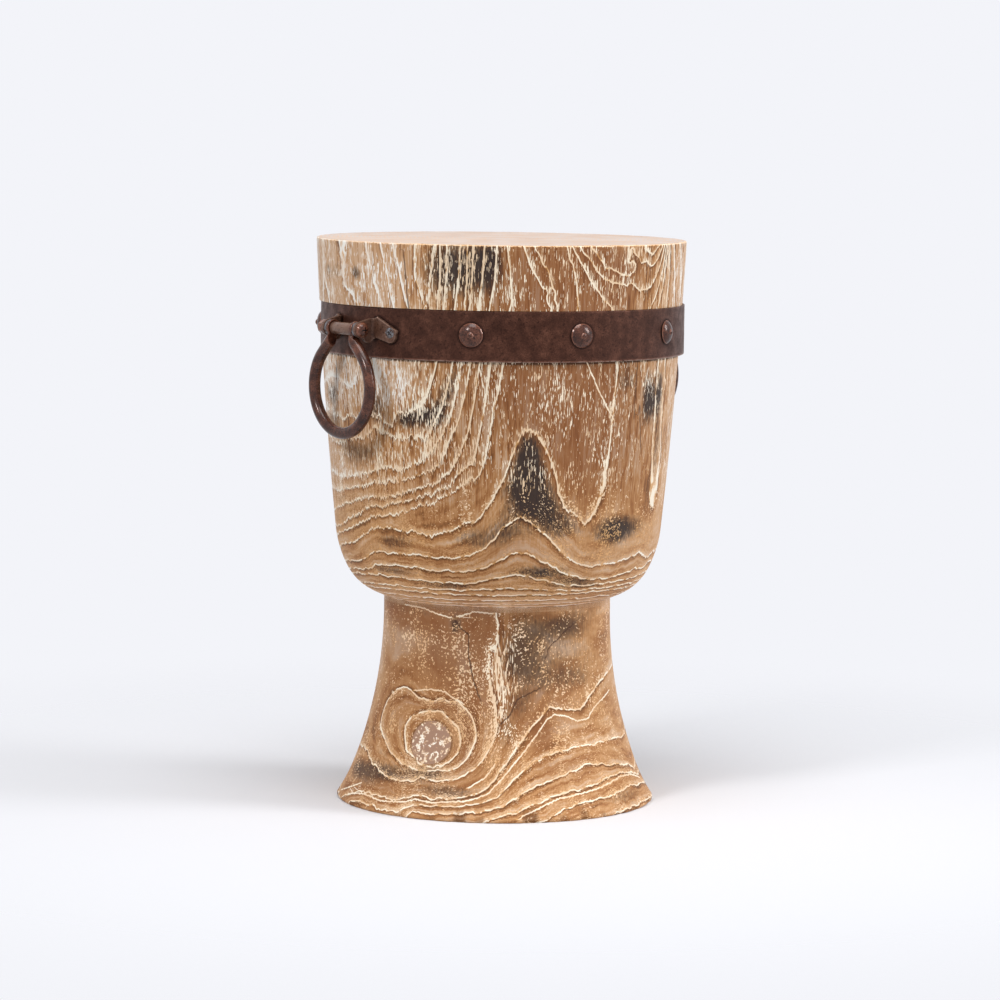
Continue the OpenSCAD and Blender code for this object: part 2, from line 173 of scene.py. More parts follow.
# Node type, inputs in order and settings of each kind in a formula. Any other kind is an operation of a Math node.
KINDS: dict[str, tuple[str, tuple, dict]] = {
    "STRETCH": ("ShaderNodeMapRange", SPAN, {}),
    "FADE": ("ShaderNodeMapRange", SPAN, {"interpolation_type": "SMOOTHSTEP"}),
    "CHOOSE": ("ShaderNodeMix", (0, 2, 3), {}),
    "BLEND": ("ShaderNodeMix", (0, 6, 7), {"data_type": "RGBA"}),
    "RAMP": ("ShaderNodeValToRGB", ("Fac",), {}),
    "AT": ("ShaderNodeMapping", ("Vector", "Scale"), {}),
    "NOISE": ("ShaderNodeTexNoise", ("Vector", "Scale", "Detail", "Roughness", "Distortion"), {}),
    "LAYERS": ("ShaderNodeTexNoise", ("Vector", "W", "Scale", "Detail", "Roughness"), {"noise_dimensions": "4D"}),
    "BUMP": ("ShaderNodeBump", ("Height", "Distance", "Strength"), {}),
}


def reckon(tree: NodeTree, known: dict[str, Any], formula: Formula) -> Any:
    """Adds the nodes of a formula, from the inside out.

    Args:
        tree: Shader or geometry tree.
        known: Earlier results by name.
        formula: What to work out.

    Returns:
        The last node's output socket, or the formula's plain value.
    """
    if isinstance(formula, str):
        return linear(formula) if formula.startswith("#") else known[formula]
    if not isinstance(formula, tuple):
        return formula
    kind, *parts = formula
    own = parts.pop() if isinstance(parts[-1], dict) else {}
    node, inputs, settings = KINDS.get(kind, ("ShaderNodeMath", (0, 1, 2), {"operation": SIGNS.get(kind, kind)}))
    values = [reckon(tree, known, part) for part in parts]
    made = add(tree, node, dict(zip(inputs, values)), **settings, **own)
    return next(socket for socket in made.outputs if socket.enabled)


def per_mm(wide: float, long: float) -> list[float]:
    """Scale of a pattern from its real width across the fibres and its length along them, in millimetres."""
    return [1 / (wide * MM), 1 / (wide * MM), 1 / (long * MM)]


@dataclass(frozen=True)
class Finish:
    """A material drawn by formulas over the object's coordinates and the mesh's attributes."""

    name: str
    # The mesh's attributes that the formulas read
    marks: tuple[str, ...] = ()

    def rows(self) -> Sequence[tuple[str, Formula]]:
        """The look, step by step."""
        raise NotImplementedError

    def build(self) -> Material:
        """Makes the material.

        Returns:
            The material, with its shader's colour, gloss and bump.
        """
        made = bpy.data.materials.new(self.name)
        made.use_nodes = True
        tree = made.node_tree
        tree.nodes.clear()
        known: dict[str, Any] = {"place": add(tree, "ShaderNodeTexCoord").outputs["Object"]}
        for mark in self.marks:
            known[mark] = add(tree, "ShaderNodeAttribute", attribute_name=mark).outputs["Fac"]
        for name, formula in self.rows():
            known[name] = reckon(tree, known, formula)
        looks = {name: value for name, value in known.items() if name[0].isupper()}
        shader = add(tree, "ShaderNodeBsdfPrincipled", looks)
        add(tree, "ShaderNodeOutputMaterial", {"Surface": shader.outputs[0]})
        return made


@dataclass(frozen=True)
class RustyIron(Finish):
    """Hand-forged mild steel, left to rust and then oiled: purplish brown, half matt, pitted, its edges rubbed."""

    marks: tuple[str, ...] = ("wear",)
    dark: str = "#28130c"
    base: str = "#472a20"
    worn: str = "#6a4a3e"
    bare: str = "#a08c80"
    roughness: float = 0.46
    metallic: float = 0.25
    gloss: float = 0.14
    # Size of the rust's clouds, of its dark specks and of its pits, and the pits' depth, in millimetres. The real
    # pits are under half as wide and deep; they are drawn coarser so that they show.
    cloud_mm: float = 9.0
    speck_mm: float = 2.0
    pit_mm: float = 0.8
    pit_depth_mm: float = 0.2

    def rows(self) -> Sequence[tuple[str, Formula]]:
        """Rust in clouds and pits: paler at rubbed edges and painted highlights, darker in hollows and painted shade.

        Returns:
            As in Finish.
        """
        return (
            ("clouds", ("NOISE", "place", 1 / (self.cloud_mm * MM), 6.0, 0.62)),
            ("pits", ("NOISE", "place", 1 / (self.pit_mm * MM), 3.0, 0.6)),
            ("specks", ("NOISE", "place", 1 / (self.speck_mm * MM), 2.0, 0.5)),
            ("mixed", ("*+", "pits", 0.42, ("*", "clouds", 0.58))),
            # The wear values hold real rubbing and hollows, and on the hoop a painted highlight and painted shade
            ("tone", ("*+", ("-", "wear", 0.5), 0.7, "mixed")),
            ("rust", ("RAMP", "tone", {
                "stops": ((0.3, self.dark), (0.5, self.base), (0.72, self.worn), (1.0, self.bare)),
            })),
            ("Base Color", ("BLEND", ("STRETCH", "specks", 0.6, 0.68, 0.0, 0.75), "rust", self.dark)),
            # Rubbed places are smoother
            ("Roughness", ("STRETCH", "tone", 0.35, 0.65, self.roughness + 0.14, self.roughness - 0.1)),
            ("Metallic", self.metallic),
            ("Specular IOR Level", self.gloss),
            ("Normal", ("BUMP", "mixed", self.pit_depth_mm * MM, 0.5)),
        )


@dataclass(frozen=True)
class DullZinc(Finish):
    """Zinc-plated steel, gone dull and bluish grey, with stains of brown rust."""

    bright: str = "#8b8a90"
    dull: str = "#5c5756"
    rust: str = "#4c342b"
    roughness: float = 0.42
    metallic: float = 0.7
    stain_and_shadow_mm: float = 2.2

    def rows(self) -> Sequence[tuple[str, Formula]]:
        """Grey zinc with stains of rust.

        Returns:
            As in Finish.
        """
        return (
            ("stains", ("NOISE", "place", 1 / (self.stain_and_shadow_mm * MM), 5.0, 0.6)),
            ("Base Color", ("RAMP", "stains", {"stops": ((0.38, self.rust), (0.48, self.dull), (0.62, self.bright))})),
            ("Metallic", self.metallic),
            ("Roughness", self.roughness),
            ("Normal", ("BUMP", "stains", 0.1 * MM, 0.5)),
        )


@dataclass(frozen=True)
class LimedTeak(Finish):
    """Teak, end to end in one log, turned, sanded and limed: warm brown, matt, white lime in ring lines and pores."""

    marks: tuple[str, ...] = (
        "ring", "step", "rise", "upright", "char", "pale", "knot", "end", "ragged", "limy", "foot", "deep", "stain",
        "chip", "scar", "crack", "stroke_mm",
    )
    pale: str = "#d6b394"
    gold: str = "#e8ae68"
    tan: str = "#c59464"
    warm: str = "#a56f41"
    brown: str = "#6d4526"
    deep: str = "#845130"
    charcoal: str = "#2a2323"
    smoke: str = "#41332c"
    knot_wood: str = "#a8846e"
    # Dark brown of cracks, and of the painted shadow under the hoop
    split: str = "#4a2f22"
    lime: str = "#fffaf2"
    cream: str = "#fff2dc"
    face: str = "#cbc3c0"
    roughness: float = 0.6
    gloss: float = 0.22
    # In millimetres: half width of a ring line, width and length of a pore, how far a ragged line wanders, a pore
    # that is cut across, and the clouds in the ground colour. Real pores are a third as wide and wouldn't show.
    line_mm: float = 0.72
    pore_mm: Pair = (0.8, 7.5)
    ragged_mm: float = 5.0
    speck_mm: float = 1.7
    cloud_mm: float = 38.46

    def rows(self) -> Sequence[tuple[str, Formula]]:
        """Ring lines, pores, ground colour, charcoal, knot, rust, tool marks, lime and cracks, in that order.

        Returns:
            As in Finish.
        """
        # Noise that runs with the fibres: width and length in millimetres, and detail
        fibres = {
            "teeth": (1.5, 50.0, 2.0), "waves": (8.0, 60.0, 2.0), "flow": (6.0, 14.0, 2.0),
            "long_pore": (*self.pore_mm, 2.0), "clumps": (7.0, 22.0, 2.0), "wide_clumps": (24.0, 70.0, 2.0),
            "cloud_up": (5.0, 70.0, 5.0), "streaks": (1.1, 28.0, 3.0), "patches": (26.0, 26.0, 4.0),
            "soot": (1.4, 5.0, 4.0), "wobble": (2.0, 9.0, 2.0), "rubbed": (20.0, 45.0, 2.0), "grain": (0.5, 6.0, 2.0),
        }
        noise = [
            (name, ("NOISE", ("AT", "place", per_mm(wide, long)), 1.0, detail))
            for name, (wide, long, detail) in fibres.items()
        ]
        return (
            *noise,
            # A ragged line wanders along the fibres
            ("teeth", ("*", ("-", "teeth", 0.5), ("*+", "ragged", 2 * self.ragged_mm, 0.6))),
            ("waves", ("*", ("-", "waves", 0.5), 7.0)),
            ("level", ("*+", ("+", "teeth", "waves"), "rise", "ring")),
            # Distances in millimetres from the nearest ring line, above one and below one
            ("off_mm", ("*", ("ABSOLUTE", ("-", "level", ("ROUND", "level"))), "step")),
            ("phase", ("FRACT", "level")),
            ("above_mm", ("*", "phase", "step")),
            ("below_mm", ("*", ("-", 1.0, "phase"), "step")),
            ("strength", ("FADE", "flow", 0.34, 0.52, 0.3, 1.0)),
            ("thin_mm", ("/", "off_mm", ("*+", "pale", 0.5, 1.0))),
            ("line", ("*", ("FADE", "thin_mm", 0.35 * self.line_mm, 1.25 * self.line_mm, 1.0, 0.0), "strength")),
            ("early", ("FADE", "above_mm", 0.0, 7.0, 1.0, 0.0)),
            ("beside", ("FADE", "off_mm", 0.0, 3.2, 1.0, 0.0)),
            ("late", ("FADE", "below_mm", 0.0, 5.0, 1.0, 0.0)),
            # Pores: long dashes where the side is cut along the fibres, specks where it slopes across them
            ("speck", ("LAYERS", ("AT", "place", per_mm(self.speck_mm, self.speck_mm)), ("*", "level", 24.0),
                       1.0, 2.0)),
            ("pore", ("CHOOSE", ("FADE", "upright", 0.25, 0.6), "speck", "long_pore")),
            ("clumps", ("+", ("*", "clumps", 0.28), ("*", "wide_clumps", 0.3))),
            ("plenty", ("*+", "beside", 0.06, ("*", "early", 0.07))),
            ("plenty", ("+", "plenty", ("*+", "pale", 0.06, ("-", "clumps", 0.295)))),
            ("plenty", ("*+", "limy", 0.055, "plenty")),
            ("dash", ("FADE", ("-", "pore", ("-", 0.595, "plenty")), 0.0, 0.06)),
            ("dash", ("*", "dash", ("*+", "foot", 0.13, ("*+", "upright", 0.62, 0.36)))),
            # Ground colour: clouds along the fibres on the upright side, along the rings on the slopes
            ("cloud_flat", ("LAYERS", ("AT", "place", per_mm(self.cloud_mm, self.cloud_mm)), ("*", "level", 4.0),
                            1.0, 6.0, 0.62)),
            ("streaks", ("*", ("-", "streaks", 0.5), ("*+", "upright", 0.75, 0.2))),
            ("cloud", ("+", ("CHOOSE", "upright", "cloud_flat", "cloud_up"), "streaks")),
            ("cloud", ("*+", "pale", 0.1, "cloud")),
            ("tone", ("-", ("*+", "early", 0.05, "cloud"), ("*", "late", 0.13))),
            # Each ring line has a thin dark edge of the densest wood below it
            ("rim", ("*", ("FADE", "below_mm", 0.7, 2.4, 1.0, 0.0), "strength")),
            ("tone", ("*+", "rim", -0.16, "tone")),
            ("tone", ("*+", ("-", "tone", 0.5), 1.2, 0.53)),
            ("ground", ("RAMP", "tone", {
                "stops": ((0.28, self.brown), (0.44, self.warm), (0.58, self.tan), (0.74, self.pale)),
            })),
            ("wood", ("BLEND", ("*", "deep", 0.72), "ground", self.deep)),
            ("wood", ("BLEND", ("*", "pale", 0.4), "wood", self.pale)),
            # Seat and foot face: end grain, paler and quieter
            ("patchy", ("*+", ("FADE", "patches", 0.36, 0.64), -0.28, 0.92)),
            ("wood", ("BLEND", ("*", "end", "patchy"), "wood", self.face)),
            # Charcoal, which is browner and thinner on the foot
            ("soot", ("*", ("-", "soot", 0.5), 1.5)),
            ("soot", ("*+", "char", 1.45, ("-", "soot", 0.12))),
            ("dark", ("*", ("FADE", "soot", -0.1, 1.25), ("*", ("FADE", "char", 0.0, 0.4), 0.95))),
            ("dark", ("*", "dark", ("*+", "foot", -0.12, 1.0))),
            ("wood", ("BLEND", "dark", "wood", ("BLEND", "foot", self.charcoal, self.smoke))),
            # Knot: greyish wood with flecks of lime and a brown edge
            ("blotch", ("NOISE", "place", 1 / (4.0 * MM), 5.0, 0.65, 0.6)),
            ("in_knot", ("FADE", "knot", 0.93, 1.0, 1.0, 0.0)),
            ("wood", ("BLEND", "in_knot", "wood", self.knot_wood)),
            ("flecks", ("*", "in_knot", ("*", ("FADE", "blotch", 0.51, 0.6), 0.85))),
            ("edge", ("*", ("FADE", "knot", 0.92, 0.99), ("FADE", "knot", 1.0, 1.08, 1.0, 0.0))),
            ("wood", ("BLEND", ("*", "edge", 0.75), "wood", self.brown)),
            # Painted shadow in a thin strip just under the hoop's lower edge, and tool marks along the foot's edge
            ("wood", ("BLEND", ("*", "stain", 0.85), "wood", self.split)),
            ("wood", ("BLEND", ("*", "chip", 0.9), "wood", self.brown)),
            # Lime, which the knot and the end grain keep less of
            ("kept", ("*", ("-", 1.0, "in_knot"), ("*+", "end", -0.72, 1.0))),
            ("white", ("*", ("MAXIMUM", "line", "dash"), "kept")),
            ("wander_mm", ("*+", ("-", "wobble", 0.5), 2.5, "stroke_mm")),
            ("stroke", ("FADE", ("ABSOLUTE", "wander_mm"), 0.25, 0.8, 1.0, 0.0)),
            ("white", ("MAXIMUM", ("MAXIMUM", "white", "flecks"), ("*", "stroke", "scar"))),
            # Thin lime lets the wood glow through as gold
            ("wood", ("BLEND", ("*", ("FADE", "white", 0.0, 0.55), 0.85), "wood", self.gold)),
            ("full", ("*+", ("FADE", "rubbed", 0.42, 0.62), -0.45, 1.0)),
            ("full", ("MINIMUM", ("*", "full", ("*+", "pale", 0.45, 1.0)), 1.0)),
            ("chalk", ("BLEND", ("FADE", "pale", 0.0, 0.7), self.cream, self.lime)),
            ("wood", ("BLEND", ("*", ("FADE", "white", 0.25, 0.75), "full"), "wood", "chalk")),
            ("split", ("*", "stroke", "crack")),
            ("Base Color", ("BLEND", ("*", "split", 0.8), "wood", self.split)),
            ("Roughness", self.roughness),
            ("Specular IOR Level", self.gloss),
            # Lime fills the pores, and the cracks are deep
            ("relief", ("*+", "white", -0.6, ("*+", "split", -3.0, "grain"))),
            ("Normal", ("BUMP", "relief", 0.25 * MM, 0.35)),
        )


def arc_points(start: Vector, end: Vector, radius: float, side: int, count: int) -> list[Vector]:
    """Points of a circular arc in a plane.

    Args:
        start: First point.
        end: Last point.
        radius: Radius of the arc.
        side: 1 if the arc bulges to the left of the way from start to end, -1 if to the right.
        count: Number of points, both ends among them.

    Returns:
        The points in order.
    """
    half = (end - start) / 2
    left = Vector((-half.y, half.x)).normalized() * side
    centre = (start + end) / 2 - left * math.sqrt(radius**2 - half.length_squared)
    first = math.atan2(start.y - centre.y, start.x - centre.x)
    last = math.atan2(end.y - centre.y, end.x - centre.x)
    turn = (last - first + math.pi) % (2 * math.pi) - math.pi
    return [
        centre + radius * Vector((math.cos(first + turn * i / (count - 1)), math.sin(first + turn * i / (count - 1))))
        for i in range(count)
    ]


@dataclass(frozen=True)
class LogProfile:
    """The turned log's section, with the CAD's own sizes in millimetres. x is the radius and y the height."""

    height: float = 450.0
    seat_r: float = 147.5
    rim: float = 1.6
    bend: Pair = (130.5, 219.0)
    swell: float = 1.6
    shoulder_r: float = 87.0
    shoulder_tilt: float = 28.7
    turn_r: float = 40.6
    under_tilt: float = 68.5
    neck: Pair = (91.0, 164.0)
    waist_z: float = 153.0
    hollow_r: float = 349.0
    flare_z: float = 27.0
    foot_r: float = 127.25
    toe_r: float = 2.0
    toe_tilt: float = 38.0
    # The hoop's seat: radius, lowest and highest point
    hoop_seat: Triple = (143.046, 359.95, 399.45)
    # Rows of points: their pitch on the side, how far from the hoop's seat they stop, above and below it, and the
    # extra ones under its lower edge
    row: float = 2.2
    clear: Pair = (0.4, 2.4)
    under_seat: tuple[float, ...] = (0.0, 1.2, 1.8)

    def points(self) -> list[Triple]:
        """Points from the middle of the seat's face to the middle of the foot's face.

        Returns:
            Radius, height and 1 or 0 for a point in the hoop's seat or not, in metres.
        """
        rim = Vector((self.seat_r, self.height))
        bend = Vector(self.bend)
        chord = (rim - bend).length
        side_r = (chord**2 / 4 + self.swell**2) / (2 * self.swell)
        tilt = math.atan2(rim.x - bend.x, rim.y - bend.y) + math.asin(chord / 2 / side_r)
        shoulder = self._after(bend, self.shoulder_r, tilt, math.radians(self.shoulder_tilt))
        turn = self._after(shoulder, self.turn_r, math.radians(self.shoulder_tilt), math.radians(self.under_tilt))
        neck, waist = Vector(self.neck), Vector((self.neck[0], self.waist_z))
        hollow = self.hollow_r - math.sqrt(self.hollow_r**2 - (self.flare_z - self.waist_z) ** 2)
        flare = Vector((self.neck[0] + hollow, self.flare_z))
        toe_turn = math.radians(self.toe_tilt)
        toe = Vector((self.foot_r - self.toe_r * (1 - math.cos(toe_turn)), self.toe_r * (1 + math.sin(toe_turn))))
        reach = toe - flare
        flare_tilt = math.asin((self.waist_z - self.flare_z) / self.hollow_r)
        flare_r = reach.length / 2 / math.sin(math.atan2(reach.x, -reach.y) - flare_tilt)
        rim_in, rim_low = rim - Vector((self.rim, 0)), rim - Vector((0, self.rim))
        side = arc_points(rim_low, bend, side_r, 1, round(chord / self.row))
        low, high = self.hoop_seat[1:]
        upper = [p for p in side if p.y > high + self.clear[0]]
        lower = [p for p in side[:-1] if p.y < low - self.clear[1]]

        def side_x(height: float) -> float:
            """Radius of the side at a height."""
            return float(np.interp(height, [p.y for p in reversed(side)], [p.x for p in reversed(side)]))

        seat_rows = [Vector((self.hoop_seat[0], high + (low - high) * i / 8)) for i in range(9)]
        parts: list[tuple[list[Vector], float]] = [
            ([Vector((rim_in.x * (i / 48) ** 0.8, self.height)) for i in range(48)], 0.0),
            (arc_points(rim_in, rim_low, self.rim, 1, 6)[:-1], 0.0),
            ([*upper, Vector((side_x(high), high))], 0.0),
            (seat_rows, 1.0),
            ([Vector((side_x(low - drop), low - drop)) for drop in self.under_seat], 0.0),
            (lower, 0.0),
            (arc_points(bend, shoulder, self.shoulder_r, 1, 18)[:-1], 0.0),
            (arc_points(shoulder, turn, self.turn_r, 1, 16), 0.0),
            ([turn.lerp(neck, t) for t in (0.33, 0.67, 1.0)], 0.0),
            ([neck.lerp(waist, t) for t in (0.3, 0.65)], 0.0),
            (arc_points(waist, flare, self.hollow_r, -1, 60)[:-1], 0.0),
            (arc_points(flare, toe, flare_r, -1, 12)[:-1], 0.0),
            (self._toe(), 0.0),
            ([Vector(((self.foot_r - self.toe_r) * (1 - i / 10), 0)) for i in range(1, 11)], 0.0),
        ]
        return [(p.x * MM, p.y * MM, seat) for part, seat in parts for p in part]

    @staticmethod
    def _after(start: Vector, radius: float, tilt_0: float, tilt_1: float) -> Vector:
        """End of an arc that goes down and inwards from start while its tilt from upright grows."""
        return start - radius * Vector((math.cos(tilt_0) - math.cos(tilt_1), math.sin(tilt_1) - math.sin(tilt_0)))

    def _toe(self) -> list[Vector]:
        """Rounds the foot's edge.

        Returns:
            Points from its outer side down to the floor.
        """
        centre = Vector((self.foot_r - self.toe_r, self.toe_r))
        angles = [math.radians(self.toe_tilt - (90 + self.toe_tilt) * i / 6) for i in range(7)]
        return [centre + self.toe_r * Vector((math.cos(a), math.sin(a))) for a in angles]


def input_id(tree: NodeTree, name: str) -> str:
    """Identifier of a group's input, by its name."""
    return next(s.identifier for s in tree.interface.items_tree if s.name == name and s.in_out == "INPUT")


def new_tree(name: str, inputs: Sequence[tuple[str, str]]) -> tuple[NodeTree, Node]:
    """Starts a Geometry Nodes tree.

    Args:
        name: Name of the tree.
        inputs: Name and socket type of each input after the geometry.

    Returns:
        The tree and its input node.
    """
    tree = bpy.data.node_groups.new(name, "GeometryNodeTree")
    tree.interface.new_socket("Geometry", in_out="INPUT", socket_type="NodeSocketGeometry")
    for label, kind in inputs:
        tree.interface.new_socket(label, in_out="INPUT", socket_type=kind)
    tree.interface.new_socket("Geometry", in_out="OUTPUT", socket_type="NodeSocketGeometry")
    return tree, add(tree, "NodeGroupInput")


def end_tree(tree: NodeTree, geometry: NodeSocket, material: NodeSocket) -> None:
    """Ends a tree with real meshes in their material.

    Args:
        tree: Tree to end.
        geometry: What it makes.
        material: The material's socket.
    """
    real = add(tree, "GeometryNodeRealizeInstances", {"Geometry": geometry})
    dressed = add(tree, "GeometryNodeSetMaterial", {"Geometry": real.outputs[0], "Material": material})
    add(tree, "NodeGroupOutput", {"Geometry": dressed.outputs[0]})


def run_tree(name: str, mesh: Mesh, tree: NodeTree, values: dict) -> Object:
    """Runs a tree on a mesh and keeps the result as a plain mesh.

    Args:
        name: Name of the finished object.
        mesh: The tree's input geometry.
        tree: Tree to run.
        values: Values by input name.

    Returns:
        The object, at the origin, without its modifier.
    """
    made = link_object(name, mesh)
    modifier = made.modifiers.new("Shape", "NODES")
    modifier.node_group = tree
    for label, value in values.items():
        modifier[input_id(tree, label)] = value
    result = baked(made)
    made.modifiers.remove(modifier)
    made.data = result
    result.name = name
    return made


def face_outwards(mesh: Mesh) -> None:
    """Turns a closed mesh the right way out, going by the sign of its volume.

    Args:
        mesh: Mesh to turn.
    """
    mesh.calc_loop_triangles()
    corners = np.array([[mesh.vertices[v].co for v in t.vertices] for t in mesh.loop_triangles])
    if np.einsum("ij,ij->i", corners[:, 0], np.cross(corners[:, 1], corners[:, 2])).sum() < 0:
        mesh.flip_normals()


def section_mesh(name: str, points: Sequence[Sequence[float]]) -> Mesh:
    """Makes an open polyline of a section in the XZ plane, radius along X.

    Args:
        name: Name of the mesh.
        points: Radius and height of each point, in metres, in order.

    Returns:
        The polyline.
    """
    mesh = bpy.data.meshes.new(name)
    edges = [(i, i + 1) for i in range(len(points) - 1)]
    mesh.from_pydata([(p[0], 0, p[1]) for p in points], edges, [])
    return mesh


def lathe_tree() -> NodeTree:
    """Tree that turns a section round an upright axis, and makes the surface a little uneven.

    The section is a polyline with its radius along X. Its points marked "seat" are turned round a shifted axis.

    Returns:
        The tree.
    """
    tree, given = new_tree("lathe", [
        ("Sides", "NodeSocketInt"), ("Seat shift", "NodeSocketVector"), ("Unevenness", "NodeSocketFloat"),
        ("Wave length", "NodeSocketFloat"), ("Seed", "NodeSocketFloat"), ("Material", "NodeSocketMaterial"),
    ])
    size = add(tree, "GeometryNodeAttributeDomainSize", {"Geometry": given.outputs["Geometry"]})
    rows, sides = size.outputs["Point Count"], given.outputs["Sides"]
    index = add(tree, "GeometryNodeInputIndex").outputs[0]
    known = {
        "index": index, "rows": rows, "sides": sides, "seed": given.outputs["Seed"],
        "wave_length": given.outputs["Wave length"], "uneven": given.outputs["Unevenness"],
    }
    for name, formula in (
        ("columns", ("+", "sides", 1.0)),
        ("column", ("FLOOR", ("/", ("+", "index", 0.5), "rows"))),
        ("row", ("-", "index", ("*", "column", "rows"))),
        ("turn", ("*", "column", ("/", math.tau, "sides"))),
    ):
        known[name] = reckon(tree, known, formula)
    grid = add(tree, "GeometryNodeMeshGrid", {"Vertices X": known["columns"], "Vertices Y": rows})
    place = add(tree, "GeometryNodeInputPosition").outputs[0]
    point = add(tree, "GeometryNodeSampleIndex", {
        "Geometry": given.outputs["Geometry"], "Value": place, "Index": known["row"],
    }, data_type="FLOAT_VECTOR", clamp=True)
    mark = add(tree, "GeometryNodeInputNamedAttribute", {"Name": "seat"}, data_type="FLOAT")
    seat = add(tree, "GeometryNodeSampleIndex", {
        "Geometry": given.outputs["Geometry"], "Value": mark.outputs[0], "Index": known["row"],
    }, data_type="FLOAT", clamp=True)
    turned = add(tree, "ShaderNodeVectorRotate", {
        "Vector": point.outputs[0], "Angle": known["turn"],
    }, rotation_type="Z_AXIS")
    shift = add(tree, "ShaderNodeVectorMath", {
        0: given.outputs["Seat shift"], "Scale": seat.outputs[0],
    }, operation="SCALE")
    placed = add(tree, "GeometryNodeSetPosition", {
        "Geometry": grid.outputs["Mesh"], "Position": turned.outputs[0], "Offset": shift.outputs[0],
    })
    merged = add(tree, "GeometryNodeMergeByDistance", {"Geometry": placed.outputs[0], "Distance": 0.01 * MM})
    known["wave"] = add(tree, "ShaderNodeTexNoise", {
        "W": known["seed"], "Detail": 3.0, "Scale": reckon(tree, known, ("/", 1.0, "wave_length")),
    }, noise_dimensions="4D").outputs["Fac"]
    # The foot's face stays flat on the floor
    known["height"] = add(tree, "ShaderNodeSeparateXYZ", {0: place}).outputs["Z"]
    lift = ("*", ("-", "wave", 0.1), "uneven")
    push = add(tree, "ShaderNodeVectorMath", {
        0: add(tree, "GeometryNodeInputNormal").outputs[0],
        "Scale": reckon(tree, known, ("*", lift, ("STRETCH", "height", 0.5 * MM, 4 * MM))),
    }, operation="SCALE")
    worn = add(tree, "GeometryNodeSetPosition", {"Geometry": merged.outputs[0], "Offset": push.outputs[0]})
    end_tree(tree, worn.outputs[0], given.outputs["Material"])
    return tree


